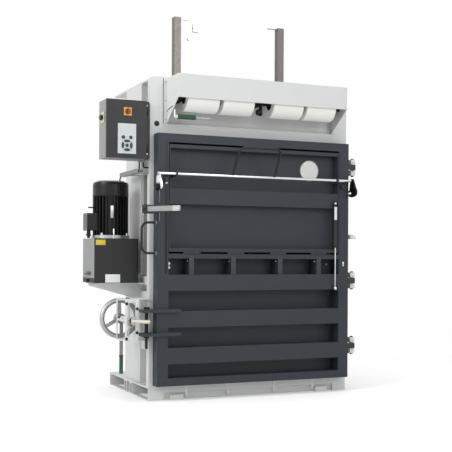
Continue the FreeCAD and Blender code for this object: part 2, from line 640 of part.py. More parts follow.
def rod(axis, start, length, radius):
    """A round bar from its start point along one axis."""
    bar = doc.addObject("Part::Cylinder", "Rod")
    bar.Placement = FreeCAD.Placement(FreeCAD.Vector(), TURNS[axis])
    bar.setExpression("Radius", formula(radius))
    bar.setExpression("Height", formula(length))
    for name, place in zip("xyz", start):
        bar.setExpression(f"Placement.Base.{name}", formula(place))
    return bar


def ring(axis, centre, radius, section):
    """A round hoop of round section."""
    hoop = doc.addObject("Part::Torus", "Hoop")
    hoop.Placement = FreeCAD.Placement(FreeCAD.Vector(), TURNS[axis])
    hoop.setExpression("Radius1", formula(radius))
    hoop.setExpression("Radius2", formula(section))
    for name, place in zip("xyz", centre):
        hoop.setExpression(f"Placement.Base.{name}", formula(place))
    return hoop


def fused(*shapes):
    """Pieces welded into one."""
    weld = doc.addObject("Part::MultiFuse", "Weld")
    weld.Shapes = list(shapes)
    weld.Refine = True
    return weld


def cut(base, *tools):
    """A piece with holes, slots or pockets."""
    opened = doc.addObject("Part::Cut", "Cut")
    opened.Base = base
    opened.Tool = tools[0] if len(tools) == 1 else fused(*tools)
    opened.Refine = True
    return opened


def group(*shapes):
    """Separate like pieces kept together."""
    together = doc.addObject("Part::Compound", "Group")
    together.Links = list(shapes)
    return together


def new_sketch(body, plane):
    """An empty sketch on one of the body's own origin planes."""
    sketch = body.newObject("Sketcher::SketchObject", "Outline")
    role = ORIGIN_PLANES[plane]
    origin = [item for item in body.Origin.OriginFeatures if item.Role == role][0]
    sketch.AttachmentSupport = [(origin, "")]
    sketch.MapMode = "FlatFace"
    return sketch


def draw(sketch, points):
    """A closed outline whose corners stand at named places."""
    count = len(points)
    start = [FreeCAD.Vector(100 * math.cos(2 * math.pi * i / count),
                            100 * math.sin(2 * math.pi * i / count), 0)
             for i in range(count)]
    for i in range(count):
        sketch.addGeometry(Part.LineSegment(start[i], start[(i + 1) % count]), False)
    for i in range(count):
        sketch.addConstraint(Sketcher.Constraint("Coincident", i, 2, (i + 1) % count, 1))
    for i, (across, up) in enumerate(points):
        for kind, place, begin in (("DistanceX", across, start[i].x), ("DistanceY", up, start[i].y)):
            index = sketch.addConstraint(Sketcher.Constraint(kind, -1, 1, i, 1, begin))
            sketch.setExpression(f"Constraints[{index}]", formula(place))


def plate(plane, points, low, high):
    """An outline drawn on one plane and pushed from low to high across it."""
    body = doc.addObject("PartDesign::Body", "Plate")
    sketch = new_sketch(body, plane)
    draw(sketch, points)
    pad = body.newObject("PartDesign::Pad", "Push")
    pad.Profile = sketch
    pad.Reversed = plane == "XZ"
    pad.setExpression("Length", formula(f"({high}) - ({low})"))
    body.setExpression(f"Placement.Base.{PUSH_AXIS[plane]}", formula(low))
    return body


def turned(axis, centre, points):
    """An outline of (radius, distance along the axis), turned round that axis."""
    body = doc.addObject("PartDesign::Body", "Turned")
    sketch = new_sketch(body, "XZ")
    draw(sketch, points)
    turn = body.newObject("PartDesign::Revolution", "Turn")
    turn.Profile = sketch
    turn.ReferenceAxis = (sketch, ["V_Axis"])
    turn.Angle = 360
    body.Placement = FreeCAD.Placement(FreeCAD.Vector(), TURNS[axis])
    for name, place in zip("xyz", centre):
        body.setExpression(f"Placement.Base.{name}", formula(place))
    return body


def rounded_path(corners, bend):
    """Straight runs through the corner points, joined by tangent arcs."""
    edges = []
    last = corners[0]
    for before, corner, after in zip(corners, corners[1:], corners[2:]):
        to_before = (before - corner).normalize()
        to_after = (after - corner).normalize()
        half_turn = (math.pi - to_before.getAngle(to_after)) / 2
        reach = bend * math.tan(half_turn)
        start = corner + to_before * reach
        end = corner + to_after * reach
        middle_way = (to_before + to_after).normalize()
        middle = corner + middle_way * (bend / math.cos(half_turn) - bend)
        if (start - last).Length > 0.001:
            edges.append(Part.LineSegment(last, start).toShape())
        edges.append(Part.Arc(start, middle, end).toShape())
        last = end
    edges.append(Part.LineSegment(last, corners[-1]).toShape())
    return Part.Wire(edges)


def bent_bar(points, bend, radius):
    """A round bar or cable along a path with rounded corners."""
    corners = [FreeCAD.Vector(*point) for point in points]
    path = rounded_path(corners, bend)
    section = Part.Wire([Part.Circle(corners[0], corners[1] - corners[0], radius).toShape()])
    bar = doc.addObject("Part::Feature", "BentBar")
    bar.Shape = path.makePipeShell([section], True, False)
    return bar


def swung(shape, axis, angle, centre):
    """A shape drawn at the origin, turned about its pivot and set in its place."""
    shape.Placement = FreeCAD.Placement(FreeCAD.Vector(), FreeCAD.Rotation(FreeCAD.Vector(*axis), 1))
    shape.setExpression("Placement.Rotation.Angle", formula(angle))
    for name, place in zip("xyz", centre):
        shape.setExpression(f"Placement.Base.{name}", formula(place))
    return shape


def piece(name, shape):
    """Give a finished piece the name of its file."""
    shape.Label = name
    pieces[name] = shape
    return shape


# ---------------------------------------------------------------- base and body

def base_frame():
    """Deck on beams, open at both sides for the forks of a truck."""
    w, d = "half_width", "half_depth"
    across = ("-half_width", "half_width")
    under_deck = "base_height - deck_wall"
    end = "half_width - beam_end_width"
    tube = "fork_tube_gap / 2"
    parts = [
        block(across, ("-half_depth", "half_depth"), (under_deck, "base_height")),
        block((f"-({end})", end), ("-half_depth", "-half_depth + deck_wall"),
              ("beam_step_height", under_deck)),
        block((f"-({end})", end), ("-half_depth", "-half_depth + beam_step + deck_wall"),
              ("beam_step_height", "beam_step_height + lip_wall")),
        block((f"-({end})", end), ("-half_depth + beam_step", "-half_depth + beam_step + deck_wall"),
              ("0", "beam_step_height + lip_wall")),
        block(across, ("half_depth - deck_wall", "half_depth"), ("0", under_deck)),
        block(across, ("half_depth - lip_width", "half_depth"), ("0", "lip_wall")),
        block(across, ("-half_depth", "-half_depth + lip_width"), ("0", "lip_wall")),
    ]
    for step in (-1, 0, 1):
        middle = f"{step} * tie_pitch"
        parts.append(block((f"{middle} - tie_width / 2", f"{middle} + tie_width / 2"),
                           (f"-({tube})", tube), ("0", "lip_wall")))
    for side in (LEFT, RIGHT):
        parts.append(block(mirrored(side, end, w), ("-half_depth", "-half_depth + deck_wall"),
                           ("0", under_deck)))
        parts.append(block(mirrored(side, f"{end} - deck_wall", end),
                           ("-half_depth", "-half_depth + beam_step + deck_wall"), ("0", under_deck)))
        low, high = mirrored(side, tube, f"{tube} + fork_tube_width")
        beam = block(across, (low, high), ("0", under_deck))
        hollow = block(("-half_width - cut_past", "half_width + cut_past"),
                       (f"{low} + lip_wall", f"{high} - lip_wall"),
                       ("lip_wall", f"{under_deck} - lip_wall"))
        parts.append(cut(beam, hollow))
    front_cut = block((f"-({end}) + deck_wall", f"{end} - deck_wall"),
                      ("-half_depth - cut_past", "-half_depth + beam_step"),
                      ("-cut_past", "beam_step_height"))
    frame = cut(fused(*parts), front_cut)
    piece("base_frame", frame)


def floor_stops():
    """Pale blocks under the step of the front beam."""
    end = "half_width - beam_end_width - deck_wall"
    blocks = []
    for side in (LEFT, RIGHT):
        x = mirrored(side, f"{end} - floor_stop_inset - floor_stop_width", f"{end} - floor_stop_inset")
        blocks.append(block(x, ("-half_depth + beam_step - floor_stop_depth", "-half_depth + beam_step"),
                            ("0", "floor_stop_height")))
    piece("floor_stops", group(*blocks))


def front_post(side):
    """Folded channel, open to the back; the left one has a hole for a cable."""
    outer, inner = "half_width", "post_inner"
    low, high = mirrored(side, inner, outer)
    wall = "sheet_wall"
    front, back = "post_front", "post_front + post_return"
    outline = [
        (low, front), (high, front), (high, back), (f"{high} - {wall}", back),
        (f"{high} - {wall}", f"{front} + {wall}"), (f"{low} + {wall}", f"{front} + {wall}"),
        (f"{low} + {wall}", back), (low, back),
    ]
    post = plate("XY", outline, "base_height", "ceiling")
    if side == LEFT:
        hole = rod("y", ("-half_width + plug_side", "post_front - cut_past", "plug_height"),
                   "sheet_wall + 2 * cut_past",
                   "plug_radius")
        post = cut(post, hole)
    return post


def press_chamber():
    """Side walls with front flanges and crosshead slots, and a ribbed rear wall."""
    z = ("base_height", "ceiling")
    sheets = []
    for side in (LEFT, RIGHT):
        wall = block(mirrored(side, "chamber_half", "chamber_outer"), ("chamber_front", "chamber_back"), z)
        slot = block(mirrored(side, "chamber_half - cut_past", "chamber_outer + cut_past"),
                     ("press_y - slot_width / 2", "press_y + slot_width / 2"),
                     ("platen_rise - stroke + platen_wall - slot_margin", "crosshead_top + slot_margin"))
        sheets.append(cut(wall, slot))
        sheets.append(block(mirrored(side, "chamber_outer", "post_inner"),
                            ("chamber_front", "chamber_front + sheet_wall"), z))
    rear_parts = [block(("-chamber_outer", "chamber_outer"), ("chamber_back", "chamber_back + sheet_wall"),
                        z)]
    rear = "chamber_back + sheet_wall"
    for i in range(int(value("rear_rib_count"))):
        low = f"base_height + (ceiling - base_height) * {i + 1} / (rear_rib_count + 1) - rear_rib_height / 2"
        rib = block(("-chamber_half", "chamber_half"), (rear, f"{rear} + rear_rib_depth"),
                    (low, f"{low} + rear_rib_height"))
        inside = block(("-chamber_half + sheet_wall", "chamber_half - sheet_wall"),
                       (f"{rear} - cut_past", f"{rear} + rear_rib_depth - sheet_wall"),
                       (f"{low} + sheet_wall", f"{low} + rear_rib_height - sheet_wall"))
        rear_parts.append(cut(rib, inside))
    piece("press_chamber", group(*sheets, fused(*rear_parts)))


def side_column(side, name):
    """Channel round a press cylinder, with cross plates to the front post."""
    wall = "sheet_wall"
    low, high = mirrored(side, "chamber_outer", "column_outer")
    if side == RIGHT:
        outline = [(low, "column_front"), (high, "column_front"), (high, "column_back"),
                   (low, "column_back"),
                   (low, f"column_back - {wall}"), (f"{high} - {wall}", f"column_back - {wall}"),
                   (f"{high} - {wall}", f"column_front + {wall}"), (low, f"column_front + {wall}")]
    else:
        outline = [(high, "column_front"), (low, "column_front"), (low, "column_back"),
                   (high, "column_back"),
                   (high, f"column_back - {wall}"), (f"{low} + {wall}", f"column_back - {wall}"),
                   (f"{low} + {wall}", f"column_front + {wall}"), (high, f"column_front + {wall}")]
    parts = [plate("XY", outline, "base_height", "ceiling")]
    for height in ("brace_low", "brace_mid", "brace_tank", "brace_high"):
        parts.append(block(mirrored(side, "chamber_outer", "column_outer - sheet_wall"),
                           ("post_front + post_return", "column_front"),
                           (height, f"{height} + brace_height")))
    piece(name, fused(*parts))


def header():
    """Box beam over the door and the wall behind the strap rolls."""
    x = ("-post_inner", "post_inner")
    beam = block(x, ("post_front", "header_back"), ("header_low", "header_top"))
    hollow = block(("-post_inner - cut_past", "post_inner + cut_past"),
                   ("post_front + sheet_wall", "header_back - sheet_wall"),
                   ("header_low + sheet_wall", "header_top - sheet_wall"))
    wall = block(x, ("header_back - sheet_wall", "header_back"), ("header_top", "ceiling"))
    piece("header_beam", fused(cut(beam, hollow), wall))


def top_plate():
    """Roof of the body with the two guide sleeves and a slot for the switch plate."""
    roof = block(("-column_outer", "column_outer"), ("post_front", "half_depth"),
                 ("ceiling", "body_height"))
    parts = [roof]
    bores = []
    half = "guide_side / 2 + guide_clearance"
    for side in (LEFT, RIGHT):
        centre = f"{side} * guide_x"
        parts.append(block((f"{centre} - ({half}) - guide_wall", f"{centre} + {half} + guide_wall"),
                           (f"press_y - ({half}) - guide_wall", f"press_y + {half} + guide_wall"),
                           ("ceiling - sleeve_length", "ceiling")))
        bores.append(block((f"{centre} - ({half})", f"{centre} + {half}"),
                           (f"press_y - ({half})", f"press_y + {half}"),
                           ("ceiling - sleeve_length - cut_past", "body_height + cut_past")))
    plate_x = "-guide_x + cam_offset"
    bores.append(block((f"{plate_x} - cam_width / 2 - cam_foot - cam_slot_gap",
                        f"{plate_x} + cam_width / 2 + cam_block + cam_slot_gap"),
                       ("press_y - cam_width / 2 - cam_slot_gap", "press_y + cam_width / 2 + cam_slot_gap"),
                       ("ceiling - cut_past", "body_height + cut_past")))
    piece("top_plate", cut(fused(*parts), *bores))


# ---------------------------------------------------------------- press

def platen():
    """Open-topped pressing plate with strap channels, and the crosshead that the rods pull."""
    slab = block(("-platen_half", "platen_half"), ("platen_front", "platen_back"),
                 ("platen_rise", "platen_top"))
    grooves = []
    wall = "platen_plate"
    channel = f"(groove_width / 2 + {wall} / 2)"
    edges = [f"-platen_half + {wall}"]
    for centre in ("-strap_outer", "-strap_inner", "strap_inner", "strap_outer"):
        grooves.append(block((f"{centre} - groove_width / 2", f"{centre} + groove_width / 2"),
                             ("platen_front - cut_past", "platen_back + cut_past"),
                             ("platen_rise - cut_past", "platen_rise + groove_depth")))
        edges += [f"{centre} - {channel}", f"{centre} + {channel}"]
    edges.append(f"platen_half - {wall}")
    for low, high in zip(edges[0::2], edges[1::2]):
        grooves.append(block((low, high), (f"platen_front + {wall}", f"platen_back - {wall}"),
                             (f"platen_rise + {wall}", "platen_top + cut_past")))
    crosshead = block(("-crosshead_reach", "crosshead_reach"), ("crosshead_front", "crosshead_back"),
                      ("platen_top", "crosshead_top"))
    hollow = block(("-crosshead_reach + crosshead_solid", "crosshead_reach - crosshead_solid"),
                   (f"crosshead_front + {wall}", f"crosshead_back - {wall}"),
                   (f"platen_top + {wall}", f"crosshead_top - {wall}"))
    ribs = []
    for side in (LEFT, RIGHT):
        for along in ("guide_x + guide_side", "guide_x / 3"):
            low, high = mirrored(side, along, f"{along} + deck_wall")
            ribs.append(block((low, high), (f"platen_front + {wall} / 2", f"platen_back - {wall} / 2"),
                              (f"platen_rise + {wall}", "crosshead_top - rib_drop")))
    piece("platen", fused(cut(slab, *grooves), cut(crosshead, hollow), *ribs))


def guide_posts():
    """Two square tubes on the crosshead; they rise through the roof."""
    posts = []
    half = "guide_side / 2"
    for side in (LEFT, RIGHT):
        centre = f"{side} * guide_x"
        tube = block((f"{centre} - {half}", f"{centre} + {half}"),
                     (f"press_y - {half}", f"press_y + {half}"),
                     ("crosshead_top", "guide_top"))
        bore = block((f"{centre} - {half} + guide_wall", f"{centre} + {half} - guide_wall"),
                     (f"press_y - {half} + guide_wall", f"press_y + {half} - guide_wall"),
                     ("crosshead_top - cut_past", "guide_top - guide_wall"))
        posts.append(cut(tube, bore))
    piece("guide_posts", group(*posts))


def switch_plates():
    """Rod and plate on the left guide post, and a short strip on the right one."""
    left = "-guide_x + guide_side / 2"
    plate_x = "-guide_x + cam_offset"
    arm = rod("x", (left, "press_y", "guide_top - cam_rod_drop"), f"{plate_x} - cam_width / 2 - ({left})",
              "cam_rod_radius")
    flag = block((f"{plate_x} - cam_width / 2", f"{plate_x} + cam_width / 2"),
                 ("press_y - cam_wall / 2", "press_y + cam_wall / 2"),
                 ("guide_top + cam_rise - cam_height", "guide_top + cam_rise"))
    lug = block((f"{plate_x} + cam_width / 2", f"{plate_x} + cam_width / 2 + cam_block"),
                ("press_y - cam_width / 2", "press_y + cam_width / 2"),
                ("guide_top - cam_block_low", "guide_top - cam_block_high"))
    foot = block((f"{plate_x} - cam_width / 2 - cam_foot", f"{plate_x} - cam_width / 2"),
                 ("press_y - cam_width / 2", "press_y + cam_width / 2"),
                 ("guide_top + cam_rise - cam_height", "guide_top + cam_rise + cam_foot - cam_height"))
    right = "guide_x - guide_side / 2"
    strip = block((f"{right} - strip_length", right),
                  ("press_y - cam_width / 2", "press_y + cam_width / 2"),
                  ("guide_top - strip_drop", "guide_top - strip_drop + cam_wall"))
    piece("switch_plates", group(fused(arm, flag, lug, foot), strip))


def cylinders():
    """A pull-down cylinder in each side column."""
    barrels = []
    rods = []
    for side in (LEFT, RIGHT):
        x = f"{side} * cylinder_x"
        barrel = rod("z", (x, "press_y", "base_height"), "cylinder_length", "cylinder_radius")
        bore = rod("z", (x, "press_y", "base_height + cylinder_end"), "cylinder_length - 2 * cylinder_end",
                   "bore_radius")
        gland = rod("z", (x, "press_y", "cylinder_top - cylinder_end - cut_past"),
                    "cylinder_end + 2 * cut_past",
                    "press_rod_radius + running_gap")
        barrels.append(cut(barrel, bore, gland))
        stem_low = "cylinder_top - cylinder_end - piston_gap - piston_length"
        piston = rod("z", (x, "press_y", stem_low), "piston_length", "bore_radius - running_gap")
        stem = rod("z", (x, "press_y", stem_low), f"platen_top - ({stem_low})", "press_rod_radius")
        rods.append(fused(piston, stem))
    piece("press_cylinders", group(*barrels))
    piece("press_rods", group(*rods))


# ---------------------------------------------------------------- door

def frame_of(outer, top, bottom, inner, inner_top, inner_bottom, y):
    """A rectangular frame: an outer plate with a rectangular window."""
    body = block((f"-({outer})", outer), y, (bottom, top))
    window = block((f"-({inner})", inner), (f"{y[0]} - cut_past", f"{y[1]} + cut_past"),
                   (inner_bottom, inner_top))
    return cut(body, window)


def door_frame():
    """Channel ring, deep pan, ribs and skin, welded into one leaf."""
    wall = "sheet_wall"
    edge = frame_of("door_half", "door_top", "door_bottom", "ring_inner - sheet_wall", "opening_top",
                    "opening_bottom", ("door_front", "ring_back"))
    channel = frame_of(f"door_half - {wall}", f"door_top - {wall}", f"door_bottom + {wall}", "ring_inner",
                       f"opening_top + {wall}", f"opening_bottom - {wall}",
                       (f"door_front + {wall}", "ring_back + cut_past"))
    pan = frame_of("ring_inner", f"opening_top + {wall}", f"opening_bottom - {wall}",
                   f"ring_inner - {wall}",
                   "opening_top", "opening_bottom", ("door_front", "skin_back"))
    x = (f"-(ring_inner - {wall})", f"ring_inner - {wall}")
    skin = block(x, ("skin_front", "skin_back"), ("opening_bottom", "mid_rail_top"))
    mid_rail = block(x, ("door_front", "skin_front"), ("mid_rail_low", "mid_rail_top"))
    mid_hollow = block(x, (f"door_front + {wall}", "skin_front + cut_past"),
                       (f"mid_rail_low + {wall}", f"mid_rail_top - {wall}"))
    parts = [cut(edge, channel), pan, skin, cut(mid_rail, mid_hollow)]
    for i in range(int(value("rib_count"))):
        low = f"rib_low + {i} * rib_pitch"
        high = f"{low} + rib_height"
        parts.append(block(x, ("door_front", f"door_front + {wall}"), (low, high)))
        parts.append(block(x, (f"door_front + {wall}", "skin_front"), (low, f"{low} + {wall}")))
        parts.append(block(x, (f"door_front + {wall}", "skin_front"), (f"{high} - {wall}", high)))
    for centre in flap_hinge_places():
        start = f"{centre} - flap_knuckle"
        parts.append(block((start, centre), ("door_front", "door_front + flap_hinge_radius - weld_lap"),
                           ("mid_rail_top - weld_lap", "flap_hinge_z")))
        parts.append(rod("x", (start, "door_front", "flap_hinge_z"), "flap_knuckle", "flap_hinge_radius"))
    for side in (LEFT, RIGHT):
        parts.append(block(mirrored(side, "stile_block_side", "stile_block_side + stile_block"),
                           ("door_front - stile_block", "door_front"),
                           ("stile_block_height", "stile_block_height + stile_block")))
    piece("door_frame", fused(*parts))


def door_fittings():
    """What is welded on the leaf: lugs, hinge halves, latch pins, strut stud and lever fork."""
    piece("door_fittings",
          group(*lock_lugs(), *door_hinges(), *latch_pins(), strut_bracket(), lever_bracket()))


def lock_lugs():
    """Two thick plates round the door's left corner that hold the lock pin."""
    lugs = []
    for height in ("lug_low", "lug_high"):
        z = (f"{height} - lug_wall / 2", f"{height} + lug_wall / 2")
        front = block(("-lug_reach", "-lug_inner"), ("door_front - lug_proud", "door_front"), z)
        beside = block(("-lug_reach", "-door_half"), ("door_front - lug_proud", "pin_y + lug_back"), z)
        bore = rod("z", ("-pin_side", "pin_y", f"{height} - lug_wall"), "2 * lug_wall", "lock_pin_radius")
        lugs.append(cut(fused(front, beside), bore))
    return lugs


def flap_hinge_places():
    """Middle of each flap hinge, spread evenly over the flap's width."""
    count = int(value("flap_hinge_count"))
    return [f"({2 * i + 1 - count}) * flap_half / flap_hinge_count" for i in range(count)]


def lock_pin():
    """Headed pin between the door's lugs."""
    low, high = "lug_low - lug_wall / 2", "lug_high + lug_wall / 2"
    shank = rod("z", ("-pin_side", "pin_y", f"{low} - pin_head"), f"{high} - ({low}) + 2 * pin_head",
                "lock_pin_radius")
    heads = [
        turned("z", ("-pin_side", "pin_y", start),
               [("0", "0"), ("lock_pin_radius + pin_rim", "0"), ("lock_pin_radius + pin_rim", "pin_head"),
                ("0", "pin_head")])
        for start in (f"{low} - pin_head", high)
    ]
    piece("lock_pin", fused(shank, *heads))


def strap_guides():
    """Upright channels that lead the straps over the door."""
    guides = []
    top = "mid_rail_low - guide_drop"
    low = f"{top} - guide_plate_height"
    for side in (LEFT, RIGHT):
        for strap in ("strap_inner", "strap_outer"):
            centre = f"{side} * {strap}"
            half = "guide_plate_width / 2"
            body = block((f"{centre} - {half}", f"{centre} + {half}"),
                         ("skin_front - guide_plate_depth", "skin_front"), (low, top))
            channel = block((f"{centre} - {half} + sheet_wall", f"{centre} + {half} - sheet_wall"),
                            ("skin_front - guide_plate_depth - cut_past", "skin_front - sheet_wall"),
                            (f"{low} - cut_past", f"{top} + cut_past"))
            roller = rod("x", (f"{centre} - {half}", "skin_front - guide_plate_depth + roller_back",
                               f"{top} - roller_drop"), "guide_plate_width", "roller_radius")
            guides.append(fused(cut(body, channel), roller))
    piece("strap_guides", group(*guides))


def grab_handle():
    """D-shaped handle on the door's left side."""
    y = value("post_front") - value("grab_forward")
    x = -value("door_half")
    out = x - value("grab_reach")
    points = [(x, y, value("grab_high")), (out, y, value("grab_high")), (out, y, value("grab_low")),
              (x, y, value("grab_low"))]
    piece("grab_handle", bent_bar(points, value("grab_bend"), value("grab_radius")))


def door_hinges():
    """Knuckles on the door and on the post; the pins stay in the post's halves."""
    leaf = "hinge_leaf_wall"
    fixed = []
    moving = []
    gap = "running_gap"
    third = "hinge_height / 3"
    for low in ("hinge_low", "hinge_mid", "hinge_high"):
        for start in (low, f"{low} + 2 * {third}"):
            z = (start, f"{start} + {third}")
            bracket = block(("half_width", f"half_width + {leaf}"), ("hinge_y", "post_front + post_return"),
                            z)
            web = block((f"half_width + {leaf}", "hinge_x"),
                        (f"hinge_y - {leaf} / 2", f"hinge_y + {leaf} / 2"), z)
            barrel = rod("z", ("hinge_x", "hinge_y", start), third, "hinge_radius")
            fixed.append(fused(bracket, web, barrel))
        pin = rod("z", ("hinge_x", "hinge_y", low), "hinge_height", "hinge_pin_radius")
        fixed[-2:] = [fused(fixed[-2], fixed[-1], pin)]
        start = f"{low} + {third} + {gap}"
        length = f"{third} - 2 * {gap}"
        z = (start, f"{start} + {length}")
        arm = block(("door_half", "hinge_x"), ("door_front", f"door_front + {leaf}"), z)
        side = block((f"hinge_x - {leaf} / 2", f"hinge_x + {leaf} / 2"), ("door_front", "hinge_y"), z)
        barrel = rod("z", ("hinge_x", "hinge_y", start), length, "hinge_radius")
        hole = rod("z", ("hinge_x", "hinge_y", f"{start} - cut_past"), f"{length} + 2 * cut_past",
                   f"hinge_pin_radius + {gap}")
        moving.append(cut(fused(arm, side, barrel), hole))
    stop = block(("half_width", "hinge_x + hinge_pin_radius"),
                 ("hinge_y - stop_block_front", "post_front + stop_block_depth"),
                 ("door_stop", "door_stop + stop_block_height"))
    piece("post_hinges", group(*fixed, stop))
    return moving


def latch_pins():
    """A pin in each outer side of the door, for the claws of the flap latch."""
    pins = []
    for side in (LEFT, RIGHT):
        low, high = mirrored(side, "door_half", "hook_side + hook_wall + pin_end")
        pins.append(rod("x", (low, "latch_y + catch_back", "latch_height - catch_drop"),
                        "hook_side + hook_wall + pin_end - door_half", "catch_radius"))
    return pins


# ---------------------------------------------------------------- flap, latch and strut

def flap_panel():
    """Loading flap: folded frame, panel, cross rib, hinge knuckles and latch bearings."""
    wall = "sheet_wall"
    x = ("-flap_half", "flap_half")
    shell = block(x, ("door_front", "flap_back"), ("flap_bottom", "flap_top"))
    inside = block((f"-flap_half + {wall}", f"flap_half - {wall}"), ("door_front - cut_past", "flap_skin"),
                   (f"flap_bottom + {wall}", f"flap_top - {wall}"))
    behind = block((f"-flap_half + {wall}", f"flap_half - {wall}"),
                   (f"flap_skin + {wall}", "flap_back + cut_past"),
                   (f"flap_bottom + {wall}", f"flap_top - {wall}"))
    parts = [cut(shell, inside, behind)]
    inner = (f"-flap_half + {wall}", f"flap_half - {wall}")
    for z in (("flap_bottom", "flap_bottom + flap_flange"), ("flap_top - flap_flange", "flap_top")):
        parts.append(block(inner, ("door_front", f"door_front + {wall}"), z))
    rib = ("flap_rib_low", "flap_rib_low + flap_rib_height")
    parts.append(block(inner, ("door_front", f"door_front + {wall}"), rib))
    for low in (rib[0], f"{rib[1]} - {wall}"):
        parts.append(block(inner, ("door_front", "flap_skin"), (low, f"{low} + {wall}")))
    for centre in flap_hinge_places():
        start = f"{centre} + 2 * running_gap"
        parts.append(block((start, f"{start} + flap_knuckle"),
                           ("door_front", "door_front + flap_hinge_radius - weld_lap"),
                           ("flap_hinge_z", "flap_bottom + weld_lap")))
        parts.append(rod("x", (start, "door_front", "flap_hinge_z"), "flap_knuckle", "flap_hinge_radius"))
    half = "bearing_wall / 2"
    for side in (LEFT, RIGHT):
        low, high = mirrored(side, f"bearing_side - {half}", f"bearing_side + {half}")
        ear = block((low, high), ("latch_y - bearing_reach", "flap_skin"),
                    ("latch_height - bearing_reach", "latch_height + bearing_reach"))
        bore = rod("x", (f"{low} - cut_past", "latch_y", "latch_height"), "bearing_wall + 2 * cut_past",
                   "latch_radius + running_gap")
        parts.append(cut(ear, bore))
    ear = block(("strut_side + strut_ear_gap", "strut_side + strut_ear_gap + strut_ear_wall"),
                ("strut_y - strut_ear_front", "door_front + sheet_wall"),
                ("strut_high - strut_ear_half", "strut_high + strut_ear_half"))
    stud = rod("x", ("strut_side + strut_eye_half + stud_play", "strut_y", "strut_high"),
               "strut_ear_gap + weld_lap - strut_eye_half - stud_play", "strut_pin_radius")
    flap = fused(*parts, ear, stud)
    flap.Refine = False
    piece("flap_panel", flap)


def badge():
    """Blank disc on the flap's panel."""
    piece("blank_disc", turned("y", ("badge_side", "flap_skin - badge_wall", "badge_height"),
                               [("0", "0"), ("badge_radius - badge_edge", "0"),
                                ("badge_radius", "badge_edge"),
                                ("badge_radius", "badge_wall"), ("0", "badge_wall")]))


def claw(side):
    """Pear-shaped plate beside the door; its slot runs round the rod, so it can swing over the pin."""
    seat, tip = "catch_angle + claw_seat", "catch_angle - claw_tip"
    inner, outer, edge = "catch_reach - claw_room", "catch_reach + claw_room + claw_play", "claw_radius"

    def polar(radius, angle):
        return (f"({radius}) * cos({angle})", f"-({radius}) * sin({angle})")

    outline = [polar("boss_radius", angle) for angle in range(-45, -181, -45)]
    outline += [polar(f"claw_radius * {share}", angle) for share, angle in CLAW_BACK]
    outline += [polar(edge, angle) for angle in range(93, 56, -9)]
    outline.append(polar("claw_radius - claw_tip_inset", tip))
    outline += [polar(outer, f"{tip} + claw_lead"), polar(outer, f"({tip} + {seat}) / 2"),
                polar(outer, seat)]
    outline += [polar(inner, seat), polar(inner, f"({tip} + {seat}) / 2"), polar(inner, tip)]
    outline.append(polar("claw_throat", "claw_throat_angle"))
    low, high = mirrored(side, "hook_side", "hook_side + hook_wall")
    plain = plate("YZ", outline, low, high)
    stub_low, stub_high = mirrored(side, "hook_side + hook_wall", "latch_half")
    stub = rod("x", (stub_low, "0", "0"), "latch_half - hook_side - hook_wall", "latch_radius")
    return swung(fused(plain, stub), (1, 0, 0), "-hook_open", ("0", "latch_y", "latch_height"))


def latch():
    """Rod with a claw at each end, and the pull handle welded to it."""
    bar = rod("x", ("-hook_side", "latch_y", "latch_height"), "2 * hook_side", "latch_radius")
    piece("latch_rod", group(bar, claw(LEFT), claw(RIGHT)))
    centre = -value("pull_centre")
    foot_y = value("latch_y") - value("latch_radius") * 0.55
    foot_z = value("latch_height") + value("latch_radius") * 0.85
    left, right = centre - value("pull_half"), centre + value("pull_half")
    top_y, top_z = foot_y - value("pull_out"), foot_z + value("pull_rise")
    points = [(left, foot_y, foot_z), (left, top_y, top_z), (right, top_y, top_z), (right, foot_y, foot_z)]
    handle = bent_bar(points, value("pull_bend"), value("pull_radius"))
    clear = rod("x", ("-latch_half", "latch_y", "latch_height"), "2 * latch_half", "latch_radius")
    piece("pull_handle", cut(handle, clear))


def gas_strut():
    """Rod on the lower door, tube towards the flap."""
    x = "strut_side"
    eye = rod("x", (f"{x} - strut_eye_half", "strut_y", "strut_low"), "2 * strut_eye_half",
              "strut_eye_radius")
    stem = rod("z", (x, "strut_y", "strut_low"), "strut_rod_length", "strut_rod_radius")
    bore = rod("x", (f"{x} - strut_eye_half - cut_past", "strut_y", "strut_low"),
               "2 * (strut_eye_half + cut_past)",
               "strut_pin_radius + running_gap")
    piece("strut_rod", cut(fused(eye, stem), bore))
    tube = rod("z", (x, "strut_y", "strut_tube_low"), "strut_high - strut_tube_low - strut_eye_radius",
               "strut_tube_radius")
    inside = rod("z", (x, "strut_y", "strut_tube_low - cut_past"),
                 "strut_high - strut_tube_low - 2 * strut_eye_radius + cut_past",
                 "strut_rod_radius + running_gap")
    top_eye = rod("x", (f"{x} - strut_eye_half", "strut_y", "strut_high"), "2 * strut_eye_half",
                  "strut_eye_radius")
    piece("strut_tube", fused(cut(tube, inside), top_eye))


def strut_bracket():
    """Ear and stud on the door's top rib, for the strut's rod."""
    x = "strut_side"
    ear = block((f"{x} + strut_ear_gap", f"{x} + strut_ear_gap + strut_ear_wall"),
                ("strut_y - strut_ear_front", "door_front"),
                ("strut_low - strut_ear_half", "strut_low + strut_ear_half"))
    stud = rod("x", (f"{x} - strut_eye_half - stud_end", "strut_y", "strut_low"),
               "strut_eye_half + stud_end + strut_ear_gap + weld_lap", "strut_pin_radius")
    return fused(ear, stud)


